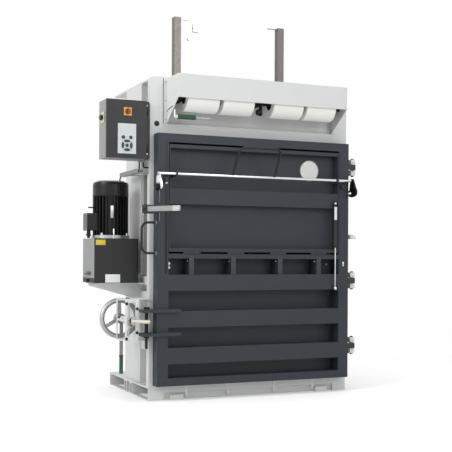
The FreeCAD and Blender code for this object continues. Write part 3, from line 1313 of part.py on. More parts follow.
def door_lever():
    """Flat bar on an upright pin beside the door, swung forward to free the flap."""
    low, high = "-lever_width / 2", "lever_width / 2"
    reach = "lever_length - lever_width / 2"
    bar = block(("0", reach), ("-lever_wall / 2", "lever_wall / 2"), (low, high))
    tip = rod("y", (reach, "-lever_wall / 2", "0"), "lever_wall", "lever_width / 2")
    hub = rod("z", ("0", "0", low), "lever_width", "lever_hub_radius")
    hole = rod("z", ("0", "0", f"{low} - cut_past"), "lever_width + 2 * cut_past",
               "lever_pin_radius + running_gap")
    lever = cut(fused(bar, tip, hub), hole)
    piece("door_lever", swung(lever, (0, 0, 1), "-lever_open", ("-lever_pivot", "lever_y", "lever_height")))


def lever_bracket():
    """Fork on the door's left side with the lever's upright pin."""
    side = ("-lever_pivot - lever_fork / 2", "-lever_pivot + lever_fork / 2")
    near = "lever_width / 2 + lever_play"
    far = f"{near} + lever_ear"
    back = ("lever_y + lever_seat - lever_ear", "lever_y + lever_seat")
    arm = block((side[0], "-door_half"), back, (f"lever_height - ({far})", f"lever_height + {far}"))
    ears = [block(side, ("lever_y - lever_fork / 2", back[1]), span) for span in (
        (f"lever_height - ({far})", f"lever_height - ({near})"),
        (f"lever_height + {near}", f"lever_height + {far}"))]
    pin = rod("z", ("-lever_pivot", "lever_y", f"lever_height - ({far}) - lever_pin_end"),
              f"2 * ({far} + lever_pin_end)",
              "lever_pin_radius")
    return fused(arm, pin, *ears)


# ---------------------------------------------------------------- door lock

def lock_housing():
    """Plates round the lock spindle, with a window in the front plate."""
    outer, top = "-housing_outer", "housing_low + housing_height"
    front = "-housing_front"
    wall = "lip_wall"
    inner = "-(lug_reach + housing_gap)"
    face = block((outer, inner), (front, f"{front} + {wall}"), ("housing_low", top))
    window = block((f"{outer} + window_edge", f"{inner} - window_inner"),
                   (f"{front} - cut_past", f"{front} + {wall} + cut_past"),
                   ("housing_low + window_low", f"{top} - window_high"))
    parts = [cut(face, window)]
    back = "-housing_front + housing_depth"
    for z in (("housing_low", f"housing_low + {wall}"), (f"{top} - {wall}", top)):
        parts.append(block((outer, inner), (front, back), z))
        parts.append(block((inner, "-half_width"), (f"{front} + housing_step", back), z))
    rear = block((outer, "-lock_side + housing_half"), (f"{back} - {wall}", back), ("housing_low", top))
    sleeve = rod("y", ("-lock_side", f"{back} - sleeve_reach", "lock_height"), "sleeve_reach",
                 "spindle_radius + sleeve_wall")
    bore = rod("y", ("-lock_side", f"{front} - cut_past", "lock_height"), "housing_depth + 2 * cut_past",
               "spindle_radius + running_gap")
    web = block((outer, "-lock_side"), (f"{back} - sleeve_reach", back),
                (f"lock_height - {wall} / 2", f"lock_height + {wall} / 2"))
    cheek = block((outer, f"{outer} + {wall}"), (front, back),
                  ("lock_height - cheek_half", "lock_height + cheek_half"))
    cheek_bar = block((outer, f"{outer} + {wall}"), (f"{back} - cheek_half", back), ("housing_low", top))
    piece("lock_housing", cut(fused(*parts, rear, sleeve, web, cheek, cheek_bar), bore))


def hand_wheel():
    """Three-spoke wheel whose hub is the nut of the lock spindle."""
    x, y, z = "-lock_side", "wheel_y", "lock_height"
    rim = ring("y", (x, y, z), "wheel_radius", "rim_radius")
    hub = rod("y", (x, f"{y} - hub_length / 2", z), "hub_length", "hub_radius")
    parts = [rim, hub]
    outline = [("-spoke_width / 2", "0"), ("spoke_width / 2", "0"), ("spoke_width * 0.4", "wheel_radius"),
               ("-spoke_width * 0.4", "wheel_radius")]
    for turn in (0, 120, 240):
        spoke = plate("XZ", outline, "0", "rim_radius")
        parts.append(swung(spoke, (0, 1, 0), turn, (x, f"{y} - rim_radius / 2", z)))
    bore = rod("y", (x, f"{y} - hub_length / 2 - cut_past", z), "hub_length + 2 * cut_past",
               "spindle_radius + running_gap")
    piece("hand_wheel", cut(fused(*parts), bore))


def lock_spindle():
    """Screw that draws the locking arm back."""
    x, z = "-lock_side", "lock_height"
    root = "-spindle_front + fork_root - weld_lap"
    screw = rod("y", (x, root, z), f"-spindle_back - ({root})", "spindle_radius")
    fork = block((f"{x} - fork_half", f"{x} + fork_half"),
                 ("-spindle_front - fork_nose", "-spindle_front + fork_root"),
                 (f"{z} - fork_rise", f"{z} + fork_rise"))
    gap = block((f"{x} - fork_half - cut_past", f"{x} + fork_half + cut_past"),
                ("-spindle_front - fork_nose - cut_past", "-spindle_front + fork_floor"),
                (f"{z} - arm_radius - fork_play", f"{z} + arm_radius + fork_play"))
    pin = rod("z", (x, "-spindle_front", f"{z} - fork_rise - fork_pin_end"),
              "2 * (fork_rise + fork_pin_end)",
              "fork_pin_radius")
    piece("lock_spindle", fused(cut(fused(screw, fork), gap), pin))


def lock_arm():
    """Pale arm on the spindle's end; it swings in front of the door's lock pin."""
    body = turned("x", ("0", "0", "0"),
                  [("0", "0"), ("arm_radius", "0"), ("arm_radius", "arm_length - arm_edge"),
                                         ("arm_radius - arm_edge", "arm_length"), ("0", "arm_length")])
    eye = rod("z", ("0", "0", "-arm_radius"), "2 * arm_radius", "arm_radius")
    bore = rod("z", ("0", "0", "-arm_radius - cut_past"), "2 * (arm_radius + cut_past)",
               "fork_pin_radius + running_gap")
    arm = cut(fused(body, eye), bore)
    piece("lock_arm", swung(arm, (0, 0, 1), "-arm_open", ("-lock_side", "-spindle_front", "lock_height")))


def ratchet_lever():
    """Hanging lever with a green grip, turning on the lock spindle."""
    x, y, z = "-lock_side", "-ratchet_forward", "lock_height"
    eye = rod("y", (x, f"{y} - ratchet_eye_half", z), "2 * ratchet_eye_half", "ratchet_eye")
    bar = block((f"{x} - ratchet_width / 2", f"{x} + ratchet_width / 2"),
                (f"{y} - ratchet_bar_half", f"{y} + ratchet_bar_half"),
                (f"{z} - ratchet_length + grip_length", z))
    bore = rod("y", (x, f"{y} - ratchet_eye_half - cut_past", z), "2 * (ratchet_eye_half + cut_past)",
               "spindle_radius + running_gap")
    piece("ratchet_lever", cut(fused(eye, bar), bore))
    grip = turned("z", (x, y, f"{z} - ratchet_length"),
                  [("0", "0"), ("grip_radius - grip_edge", "0"), ("grip_radius", "grip_edge"),
                   ("grip_radius", "grip_length - grip_collar - grip_rim"),
                   ("grip_radius + grip_rim", "grip_length - grip_collar"),
                   ("grip_radius + grip_rim", "grip_length"),
                   ("0", "grip_length")])
    piece("ratchet_grip", grip)


# ---------------------------------------------------------------- roll hood

def roll_hood():
    """Folded hood, open below, screwed to the header."""
    wall = "thin_wall"
    front, back, top = "hood_front", "post_front", "hood_top"
    fascia = block(("-hood_half", "hood_half"), (front, f"{front} + {wall}"), ("fascia_low", top))
    roof = block(("-hood_half", "hood_half"), (front, back), (f"{top} - {wall}", top))
    lip = block((f"-hood_half + {wall}", f"hood_half - {wall}"), (front, f"{front} + hood_lip"),
                ("fascia_low", f"fascia_low + {wall}"))
    parts = [fascia, roof, lip]
    for side in (LEFT, RIGHT):
        outline = [(front, "fascia_low"), (back, "hood_low"), (back, top), (front, top)]
        low, high = mirrored(side, f"hood_half - {wall}", "hood_half")
        cheek = plate("YZ", outline, low, high)
        parts.append(cheek)
        parts.append(block(mirrored(side, f"hood_half - {wall}", "post_inner - hood_post_gap"),
                           (f"{back} - {wall}", back), ("hood_low", top)))
    piece("roll_hood", fused(*parts))


def roll_carrier():
    """Bar through the rolls, its end plates and middle bracket."""
    y, z = "roll_y", "roll_height"
    parts = [rod("x", ("-hood_half + thin_wall", y, z), "2 * (hood_half - thin_wall)", "roll_bar_radius")]
    rear = "header_back - sheet_wall"
    end = "roll_outer + roll_width / 2 + carrier_gap"
    for start in (f"-({end}) - carrier_wall", "-carrier_wall / 2", end):
        parts.append(block((start, f"{start} + carrier_wall"), (f"{y} - carrier_half", rear),
                           (f"{z} - carrier_half", f"{z} + carrier_half")))
    near, far = "brake_radius - brake_edge", "brake_length - brake_edge"
    knob = turned("x", ("-brake_side", f"{y} - brake_forward", f"{z} - brake_drop"), [
        ("0", "0"), (near, "0"), ("brake_radius", "brake_edge"), ("brake_radius", far),
        (near, "brake_length"),
        ("0", "brake_length")])
    knob_arm = block(("-brake_side + brake_length", "-brake_side + brake_length + carrier_wall"),
                     (f"{y} - brake_forward - brake_radius", f"{y} - brake_forward + brake_radius"),
                     (f"{z} - brake_drop - brake_past", f"{z} - brake_half_gap"))
    piece("roll_carrier", fused(*parts, knob, knob_arm))


def strap_rolls():
    """Four wound rolls of strap, each free on the bar."""
    names = ("strap_roll_1", "strap_roll_2", "strap_roll_3", "strap_roll_4")
    centres = ("-roll_outer", "-roll_inner", "roll_inner", "roll_outer")
    for name, centre in zip(names, centres):
        start = f"{centre} - roll_width / 2"
        piece(name, turned("x", (start, "roll_y", "roll_height"), [
            ("roll_bar_radius + running_gap", "core_depth"), ("roll_core", "core_depth"),
            ("roll_core", "0"),
            ("roll_radius - roll_edge", "0"), ("roll_radius", "roll_edge"),
            ("roll_radius", "roll_width - roll_edge"),
            ("roll_radius - roll_edge", "roll_width"), ("roll_core", "roll_width"),
            ("roll_core", "roll_width - core_depth"),
            ("roll_bar_radius + running_gap", "roll_width - core_depth")]))


def strap_needle():
    """Green-handled needle clipped under the hood's left cheek."""
    y, z = "roll_y - needle_forward", "fascia_low - needle_drop"
    start = "-hood_half + thin_wall"
    shank = rod("x", (start, y, z), "needle_length", "needle_radius")
    near = "needle_grip_radius - grip_rim"
    grip = turned("x", (f"{start} + needle_grip_start", y, z), [
        ("0", "0"), (near, "0"), ("needle_grip_radius", "grip_edge"),
        ("needle_grip_radius", "needle_grip_length - grip_edge"), (near, "needle_grip_length"),
        ("0", "needle_grip_length")])
    clip = block((start, f"{start} + clip_wall"), (f"{y} - clip_half", f"{y} + clip_half"),
                 (f"{z} - clip_foot", f"{z} + clip_top"))
    piece("strap_needle", fused(shank, grip, clip))


# ---------------------------------------------------------------- tank and motor

def oil_tank():
    """Sheet tank with rounded upright edges, on a bracket at the left column."""
    x = ("-(tank_side + tank_width)", "-tank_side")
    y = ("-tank_front", "-tank_front + tank_depth")
    shell = block(x, y, ("tank_low", "tank_top"))
    rounded = doc.addObject("Part::Fillet", "TankRound")
    rounded.Base = shell
    doc.recompute()
    radius = value("tank_round")
    upright = [
        (index, radius, radius) for index, edge in enumerate(shell.Shape.Edges, start=1)
        if abs(edge.BoundBox.ZLength - value("tank_height")) < 0.01
    ]
    rounded.Edges = upright
    side = "-(tank_side + tank_width)"
    plug = rod("x", (f"{side} - drain_reach", "tank_y + drain_back", "tank_low + drain_high"),
               "drain_reach + weld_lap",
               "drain_radius")
    glass = block((f"{side} - glass_wall", side), ("tank_y - glass_front", "tank_y + glass_back"),
                  ("tank_low + glass_low", "tank_low + glass_high"))
    piece("oil_tank", fused(rounded, plug, glass))


def tank_bracket():
    """Shelf and sloping gussets that carry the tank."""
    z = "tank_low"
    y = ("-tank_front + shelf_margin", "-tank_front + tank_depth - shelf_margin")
    edge = "-(tank_side + tank_width - shelf_inset)"
    parts = [block((edge, "-column_outer"), y, (f"{z} - lip_wall", z))]
    front, back = "column_front + gusset_set", "tank_y + gusset_back"
    for start in (front, back):
        outline = [(edge, f"{z} - lip_wall"), (edge, f"{z} - gusset_low"),
                   ("-column_outer", f"{z} - gusset_root"),
                   ("-column_outer", f"{z} - lip_wall")]
        parts.append(plate("XZ", outline, start, f"{start} + lip_wall"))
    parts.append(block(("-tank_side + spacer_gap", "-column_outer"), (front, f"{back} + lip_wall"),
                       (z, f"{z} + spacer_height")))
    piece("tank_bracket", fused(*parts))


def motor():
    """Flanged motor body with upright fins, its fan cowl and terminal box."""
    body = doc.addObject("PartDesign::Body", "MotorBody")
    core = new_sketch(body, "XZ")
    rim = "motor_radius + flange_rim"
    draw(core, [("0", "0"), (rim, "0"), (rim, "flange_height - flange_edge"),
                (f"{rim} - flange_edge", "flange_height"), ("motor_core", "flange_height"),
                ("motor_core", "flange_height + motor_body_height"),
                ("0", "flange_height + motor_body_height")])
    turn = body.newObject("PartDesign::Revolution", "Core")
    turn.Profile = core
    turn.ReferenceAxis = (core, ["V_Axis"])
    turn.Angle = 360
    fin_sketch = new_sketch(body, "XY")
    root = "motor_core - 2 * weld_lap"
    draw(fin_sketch, [(root, "-fin_wall / 2"), ("motor_radius", "-fin_wall / 2"),
                      ("motor_radius", "fin_wall / 2"), (root, "fin_wall / 2")])
    fin = body.newObject("PartDesign::Pad", "Fin")
    fin.Profile = fin_sketch
    fin.setExpression("Length", formula("flange_height + motor_body_height"))
    fins = body.newObject("PartDesign::PolarPattern", "Fins")
    fins.Originals = [fin]
    fins.Axis = (fin_sketch, ["N_Axis"])
    fins.Angle = 360
    fins.setExpression("Occurrences", formula("fin_count"))
    body.Tip = fins
    for name, place in zip("xyz", ("tank_x", "tank_y", "tank_top")):
        body.setExpression(f"Placement.Base.{name}", formula(place))
    reach = "motor_radius + terminal_reach"
    flat = block((f"tank_x - ({reach})", "tank_x - motor_core + terminal_depth"),
                 ("tank_y - terminal_width / 2", "tank_y + terminal_width / 2"),
                 ("motor_low + terminal_low", "motor_low + terminal_low + terminal_height"))
    piece("motor_body", cut(body, flat))
    half = "(terminal_width / 2 - terminal_play)"
    box = block((f"tank_x - ({reach})", "tank_x - motor_core + terminal_depth - terminal_play"),
                (f"tank_y - {half}", f"tank_y + {half}"),
                ("motor_low + terminal_low + terminal_play",
                 "motor_low + terminal_low + terminal_height - terminal_play"))
    gland = rod("z", (f"tank_x - ({reach}) + terminal_gland", "tank_y", "motor_low + terminal_gland_low"),
                "terminal_gland", "terminal_gland_radius")
    piece("terminal_box", fused(box, gland))
    cowl = turned("z", ("tank_x", "tank_y", "cowl_low"), [
        ("0", "0"), ("motor_radius + cowl_rim", "0"),
        ("motor_radius + cowl_rim", "cowl_height - cowl_round"),
        ("motor_radius - cowl_edge", "cowl_height - cowl_round * 0.45"),
        ("motor_radius - cowl_round * 0.7", "cowl_height - cowl_crown"),
        ("motor_radius - cowl_round * 1.5", "cowl_height"), ("0", "cowl_height")])
    piece("fan_cowl", cowl)


# ---------------------------------------------------------------- control cabinet

def cabinet():
    """Open steel case behind the cabinet's door, and its dark hinge strip."""
    wall = "thin_wall"
    x = ("-cabinet_left", "-cabinet_right")
    case = block(x, ("cabinet_seat + cabinet_seam", "cabinet_rear"), ("cabinet_low", "cabinet_top"))
    inside = block((f"{x[0]} + {wall}", f"{x[1]} - {wall}"),
                   ("cabinet_seat + cabinet_seam - cut_past", f"cabinet_rear - {wall}"),
                   (f"cabinet_low + {wall}", f"cabinet_top - {wall}"))
    half = "stop_plate / 2"
    plate_block = block((f"{x[0]} - plate_proud", x[0]),
                        (f"-stop_forward - {half}", f"-stop_forward + {half}"),
                        (f"stop_height - {half}", f"stop_height + {half}"))
    hole = rod("x", (f"{x[0]} - plate_proud - cut_past", "-stop_forward", "stop_height"),
               f"{wall} + plate_proud + 2 * cut_past", "stop_shaft")
    glands = [rod("z", (f"-{side}", "-cable_forward", "cabinet_low - gland_height"), "gland_height",
                  "gland_radius") for side in ("cable_side", "sense_side")]
    piece("cabinet_case", cut(fused(cut(case, inside), plate_block, *glands), hole))
    strip = block(("-cabinet_right", "-cabinet_right + cabinet_strip"),
                  ("cabinet_seat + cabinet_seam", "cabinet_rear"),
                  ("cabinet_low", "cabinet_top"))
    parts = [strip]
    foot_y = ("post_front + cabinet_foot_back", "post_front + cabinet_foot_back + cabinet_foot")
    for low in ("cabinet_low + cabinet_foot", "cabinet_top - 2 * cabinet_foot"):
        parts.append(block(("-cabinet_right + cabinet_strip", "-half_width"), foot_y,
                           (low, f"{low} + cabinet_foot")))
    pin_x, pin_y = "-cabinet_right + leaf_inset", "cabinet_seat - leaf_forward"
    for low in cabinet_hinge_places():
        parts.append(rod("z", (pin_x, pin_y, low), "leaf_length", "leaf_radius"))
        parts.append(rod("z", (pin_x, pin_y, low), "2 * leaf_length", "leaf_pin"))
        parts.append(block((f"{pin_x} - leaf_half", f"{pin_x} + leaf_half"),
                           (pin_y, "cabinet_seat + cabinet_seam"),
                           (low, f"{low} + leaf_length")))
    piece("cabinet_bracket", fused(*parts))


def cabinet_hinge_places():
    """Lower end of each hinge of the cabinet's door."""
    return ("cabinet_low + leaf_low", "cabinet_top - leaf_high")


def cabinet_door():
    """Folded dark door with a yellow switch plate and the key panel."""
    face, seat = "cabinet_face", "cabinet_seat"
    right = "-cabinet_right - cabinet_seam"
    slab = block(("-cabinet_left", right), (face, seat), ("cabinet_low", "cabinet_top"))
    hollow = block(("-cabinet_left + thin_wall", f"{right} - thin_wall"),
                   (f"{face} + thin_wall", f"{seat} + cut_past"),
                   ("cabinet_low + thin_wall", "cabinet_top - thin_wall"))
    bore = rod("y", ("-switch_side", f"{face} - plate_proud - cut_past", "switch_height"),
               "thin_wall + plate_proud + 2 * cut_past", "knob_shaft + running_gap")
    half = "switch_plate / 2"
    yellow = block((f"-switch_side - {half}", f"-switch_side + {half}"), (f"{face} - plate_proud", face),
                   (f"switch_height - {half}", f"switch_height + {half}"))
    knuckles = []
    pins = []
    for low in cabinet_hinge_places():
        start = f"{low} + leaf_length + running_gap"
        pin_x, pin_y = "-cabinet_right + leaf_inset", f"{seat} - leaf_forward"
        knuckles.append(rod("z", (pin_x, pin_y, start), "leaf_length - running_gap", "leaf_radius"))
        knuckles.append(block((f"{right} - weld_lap", pin_x),
                              (f"{pin_y} - leaf_pin", f"{pin_y} + leaf_pin"),
                              (start, f"{start} + leaf_length - running_gap")))
        pins.append(rod("z", (pin_x, pin_y, start), "leaf_length", "leaf_pin + running_gap"))
    piece("cabinet_door", cut(fused(cut(slab, hollow), yellow, *knuckles), bore, *pins))
    dial_back = f"{face} - plate_proud - running_gap"
    shaft = rod("y", ("-switch_side", f"{dial_back} - weld_lap", "switch_height"), "knob_shaft_length",
                "knob_shaft")
    dial = rod("y", ("-switch_side", f"{dial_back} - dial_wall", "switch_height"), "dial_wall",
               "knob_radius")
    grip = block(("-switch_side - knob_grip_half", "-switch_side + knob_grip_half"),
                 (f"{face} - knob_height", f"{dial_back} - weld_lap"),
                 ("switch_height - knob_radius", "switch_height + knob_radius"))
    piece("switch_knob", fused(shaft, dial, grip))


def key_places():
    """Centre, outline and name of each key on the panel."""
    upper = "ring_key_z + upper_key_rise"
    places_of_keys = [
        ("key_left", "round", "panel_x - upper_key_side", upper),
        ("key_right", "round", "panel_x + upper_key_side", upper),
        ("key_centre", "round", "panel_x", "ring_key_z"),
        ("key_up", "wide", "panel_x", "ring_key_z + ring_key_radius"),
        ("key_down", "wide", "panel_x", "ring_key_z - ring_key_radius"),
        ("key_ring_left", "tall", "panel_x - ring_key_radius", "ring_key_z"),
        ("key_ring_right", "tall", "panel_x + ring_key_radius", "ring_key_z"),
    ]
    return places_of_keys


def key_shape(kind, x, z, y, grow):
    """A round key, or an almond key of the ring; grow widens it into its hole."""
    if kind == "round":
        return rod("y", (x, y[0], z), f"({y[1]}) - ({y[0]})", f"key_radius {grow}")
    long, short = f"(ring_key_length / 2 {grow})", f"(ring_key_wall / 2 {grow})"
    across, up = (long, short) if kind == "wide" else (short, long)
    outline = [(f"{x} - {across}", z), (f"{x} - {across} / 2", f"{z} - {up}"),
               (f"{x} + {across} / 2", f"{z} - {up}"),
               (f"{x} + {across}", z), (f"{x} + {across} / 2", f"{z} + {up}"),
               (f"{x} - {across} / 2", f"{z} + {up}")]
    if kind == "tall":
        outline = [(x, f"{z} - {up}"), (f"{x} + {across}", f"{z} - {up} / 2"),
                   (f"{x} + {across}", f"{z} + {up} / 2"),
                   (x, f"{z} + {up}"), (f"{x} - {across}", f"{z} + {up} / 2"),
                   (f"{x} - {across}", f"{z} - {up} / 2")]
    return plate("XZ", outline, y[0], y[1])


def key_panel():
    """Pale panel with seven separate keys that sink into it."""
    face = "cabinet_face"
    x = ("-panel_left", "-panel_left + panel_width")
    body = block(x, ("panel_face - key_travel", face), ("panel_low", "panel_top"))
    pockets = []
    for name, kind, key_x, key_z in key_places():
        floor = f"{face} - key_floor"
        pocket = ("panel_face - key_travel - cut_past", floor)
        pockets.append(key_shape(kind, key_x, key_z, pocket, "+ running_gap"))
        depth = ("panel_face - key_proud", f"{floor} - key_travel - running_gap")
        piece(name, key_shape(kind, key_x, key_z, depth, ""))
    piece("key_panel", cut(body, *pockets))


def stop_button():
    """Mushroom button on the cabinet's left side."""
    start = "-cabinet_left - plate_proud - stop_travel - stop_skirt"
    shaft = "stop_shaft - running_gap"
    piece("stop_knob", turned("x", (start, "-stop_forward", "stop_height"), [
        ("0", "0"), ("stop_radius - stop_dome", "0"), ("stop_radius", "stop_dome"),
        ("stop_radius", "2 * stop_dome"),
        (shaft, "stop_skirt - running_gap"), (shaft, "stop_knob_length"), ("0", "stop_knob_length")]))


def cables():
    """Cable tray and the two black cables from the cabinet."""
    radius = value("cable_radius")
    bend = value("cable_bend")
    x, y = -value("cable_side"), -value("cable_forward")
    low = value("cabinet_low") - value("gland_height")
    run_z = value("tray_low") + value("tray_wall") + radius + value("cable_lift")
    behind = value("cable_behind")
    box_x = value("tank_x") - value("motor_radius") - value("cable_outer")
    box_y = value("tank_y") + value("terminal_width") / 2 - value("terminal_play")
    box_z = value("motor_low") + value("terminal_low") + value("terminal_height") / 2
    power = bent_bar([(x, y, low), (x, y, run_z), (x, behind, run_z), (x, behind, box_z),
                      (box_x, behind, box_z), (box_x, box_y, box_z)], bend, radius)
    short_x = -value("sense_side")
    drop = low - value("sense_drop")
    sense = bent_bar([(short_x, y, low), (short_x, y, drop), (-value("half_width"), y, drop)], bend / 2,
                     radius)
    piece("control_cables", group(power, sense))
    sides = ("-tray_side", "-tray_side + tray_width")
    length = ("-tray_front", "cable_behind - cable_bend - tray_wall")
    tray = block(sides, length, ("tray_low", "tray_low + tray_height"))
    hollow = block((f"{sides[0]} + tray_wall", f"{sides[1]} - tray_wall"),
                   (f"{length[0]} - cut_past", f"{length[1]} + cut_past"),
                   ("tray_low + tray_wall", "tray_low + tray_height + cut_past"))
    foot = block((sides[1], "-column_outer"),
                 ("column_front + tray_foot_back", "column_front + tray_foot_back + tray_foot"),
                 ("tray_low", "tray_low + tray_wall"))
    front_foot = block((sides[1], "-half_width"), ("-tray_front", "post_front + post_return"),
                       ("tray_low", "tray_low + tray_wall"))
    piece("cable_tray", fused(cut(tray, hollow), foot, front_foot))


def strap_ends():
    """Four strap ends that hang out under the door."""
    ends = []
    edge = "post_front - running_gap"
    low = "base_height + running_gap"
    for side in (LEFT, RIGHT):
        for strap in ("strap_inner", "strap_outer"):
            x = (f"{side} * {strap} - strap_width / 2", f"{side} * {strap} + strap_width / 2")
            tail = block(x, (f"{edge} - strap_wall", edge),
                         ("base_height - strap_tail", f"{low} + strap_wall"))
            flat = block(x, (edge, "chamber_front"), (low, f"{low} + strap_wall"))
            ends.append(fused(tail, flat))
    piece("strap_ends", group(*ends))


# ---------------------------------------------------------------- build, check and write

def build():
    fill_sheets()
    base_frame()
    floor_stops()
    piece("front_posts", group(front_post(LEFT), front_post(RIGHT)))
    press_chamber()
    side_column(LEFT, "side_column_left")
    side_column(RIGHT, "side_column_right")
    header()
    top_plate()
    platen()
    guide_posts()
    switch_plates()
    cylinders()
    door_frame()
    door_fittings()
    lock_pin()
    strap_guides()
    grab_handle()
    flap_panel()
    badge()
    latch()
    gas_strut()
    door_lever()
    lock_housing()
    hand_wheel()
    lock_spindle()
    lock_arm()
    ratchet_lever()
    roll_hood()
    roll_carrier()
    strap_rolls()
    strap_needle()
    oil_tank()
    tank_bracket()
    motor()
    cabinet()
    cabinet_door()
    key_panel()
    stop_button()
    cables()
    strap_ends()
    doc.recompute()


def check():
    """Stop on any failed object or unsound shape."""
    for item in doc.Objects:
        if "Invalid" in item.State or "Error" in item.State:
            raise RuntimeError(f"{item.Label} failed: {item.State}")
    for name, item in pieces.items():
        if item.Shape.isNull() or not item.Shape.isValid() or not item.Shape.Solids:
            raise RuntimeError(f"{name} has no sound solid")


def write():
    os.makedirs("parts", exist_ok=True)
    for name, item in pieces.items():
        item.Shape.exportStep(f"parts/{name}.step")
    print(len(pieces), "pieces written")


build()
check()
write()
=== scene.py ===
"""Looks of the twin-post waste-press baler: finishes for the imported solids, and the small
pieces that the solids leave out, such as bolt heads, welds, plates, cables and the motor's grille.

Metres, +X to the right, +Y to the back, +Z up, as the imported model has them. Places and sizes of
pieces are written in millimetres and turned into metres by MM.
"""

import math

import bmesh
import bpy
from mathutils import Matrix, Vector


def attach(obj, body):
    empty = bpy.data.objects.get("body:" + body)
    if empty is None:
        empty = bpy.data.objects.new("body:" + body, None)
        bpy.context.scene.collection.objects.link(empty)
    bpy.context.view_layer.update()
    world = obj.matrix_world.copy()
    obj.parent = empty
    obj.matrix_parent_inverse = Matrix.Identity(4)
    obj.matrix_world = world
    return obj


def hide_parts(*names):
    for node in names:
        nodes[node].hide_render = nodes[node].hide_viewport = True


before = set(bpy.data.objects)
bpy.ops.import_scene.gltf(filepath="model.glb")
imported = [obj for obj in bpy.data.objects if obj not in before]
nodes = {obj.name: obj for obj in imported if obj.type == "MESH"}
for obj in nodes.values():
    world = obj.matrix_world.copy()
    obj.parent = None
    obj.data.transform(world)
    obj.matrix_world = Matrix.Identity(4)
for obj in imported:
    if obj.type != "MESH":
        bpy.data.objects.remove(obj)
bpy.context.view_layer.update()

MM = 0.001
SMOOTH_BELOW = math.radians(38)

# places that pieces share, in millimetres
ROLL_AXIS = (-540, 1972)  # y and z of the bar in the hood
ROLL_MIDDLES = (-433, -183, 183, 433)  # x of the four strap rolls
HALF_ROLL = 111
NEEDLE_AXIS = (-550, 1849)  # y and z
GUIDE_MIDDLES = (-474, -174, 174, 474)  # x of the strap guides on the door
GUIDE_HALF_WIDTH = 17
DOOR_SKIN = -519.1  # just before the door's front plane, y
STRUT_AXIS = (590, -545)  # x and y
HINGE_LOWS = (265, 724, 1522)  # z where the door's hinges start
LEVER_PIVOT = (-797, -533)  # x and y
SPINDLE_AXIS = (-866, 530)  # x and z of the lock's spindle and hand wheel
MOTOR_AXIS = (-908.5, -129)  # x and y
TANK_FACE, TANK_TOP = -274.1, 1061  # y and z
CABINET_FACE = -479.1  # just before the cabinet door, y


# ------------------------------------ small helpers

def linear(hex_colour):
    """An sRGB colour written as six hex digits, as the linear colour the shaders take."""
    channels = []
    for start in (1, 3, 5):
        share = int(hex_colour[start:start + 2], 16) / 255
        channels.append(share / 12.92 if share <= 0.04045 else ((share + 0.055) / 1.055) ** 2.4)
    return (*channels, 1.0)


def add(tree, kind, inputs=None, **settings):
    """Add one node: settings are its own properties, inputs are values or other nodes' sockets."""
    made = tree.nodes.new(kind)
    for name, setting in settings.items():
        setattr(made, name, setting)
    for socket, given in (inputs or {}).items():
        if isinstance(given, bpy.types.NodeSocket):
            tree.links.new(given, made.inputs[socket])
        else:
            made.inputs[socket].default_value = given
    return made


def linked(name, data):
    """A new object of the given data, in the scene."""
    made = bpy.data.objects.new(name, data)
    bpy.context.scene.collection.objects.link(made)
    return made


def maths(tree, operation, *values):
    """One sum on up to three numbers or sockets; returns its output."""
    return add(tree, "ShaderNodeMath", dict(enumerate(values)), operation=operation).outputs[0]


def spread(tree, value, low, high):
    """A value from 0 to 1 drawn out from low to high; returns its output."""
    return add(tree, "ShaderNodeMapRange", {"Value": value, "To Min": low, "To Max": high}).outputs["Result"]


def blend(tree, share, low, high):
    """The colour at a share of the way between two hex colours; returns its output."""
    mixed = add(tree, "ShaderNodeMix", {"Factor": share, 6: linear(low), 7: linear(high)}, data_type="RGBA")
    return mixed.outputs[2]


# ------------------------------------ camera

def photo_camera():
    """The photograph's place and lens: level, a little rolled, framed slightly upwards."""
    place = Vector((-2.7386, -6.2674, 0.9483))
    yaw, roll = math.radians(23.590), math.radians(0.318)
    data = bpy.data.cameras.new("photo_camera")
    data.sensor_width = 36
    data.lens = 75.18
    data.shift_y = 0.0666
    camera = linked("photo_camera", data)
    ahead = Vector((math.sin(yaw), math.cos(yaw), 0))
    facing = ahead.to_track_quat("-Z", "Y").to_matrix().to_4x4() @ Matrix.Rotation(roll, 4, "Z")
    camera.matrix_world = Matrix.Translation(place) @ facing
    bpy.context.scene.camera = camera


# ------------------------------------ finishes

def start_finish(name, colour, metallic, roughness):
    """A new material: returns it with its tree, the Object coordinates and the shader."""
    made = bpy.data.materials.new(name)
    made.use_nodes = True
    tree = made.node_tree
    tree.nodes.clear()
    place = add(tree, "ShaderNodeTexCoord").outputs["Object"]
    shader = add(tree, "ShaderNodeBsdfPrincipled", {
        "Base Color": linear(colour), "Metallic": metallic, "Roughness": roughness,
        "Specular IOR Level": 0.5 if metallic else 0.32})
    add(tree, "ShaderNodeOutputMaterial", {"Surface": shader.outputs["BSDF"]})
    return made, tree, place, shader


def noise(tree, place, size_mm, detail):
    """Cloudy noise with patches of the given size; returns its output."""
    made = add(tree, "ShaderNodeTexNoise", {"Vector": place, "Scale": 1 / (size_mm * MM), "Detail": detail})
    return made.outputs["Fac"]


def vary_colour(tree, place, shader, low, high, size_mm):
    """Two close shades in soft patches of the given size."""
    colour = blend(tree, noise(tree, place, size_mm, 3.0), low, high)
    tree.links.new(colour, shader.inputs["Base Color"])


def vary_roughness(tree, place, shader, low, high, size_mm):
    """Gloss that changes a little over the surface."""
    gloss = spread(tree, noise(tree, place, size_mm, 4.0), low, high)
    tree.links.new(gloss, shader.inputs["Roughness"])


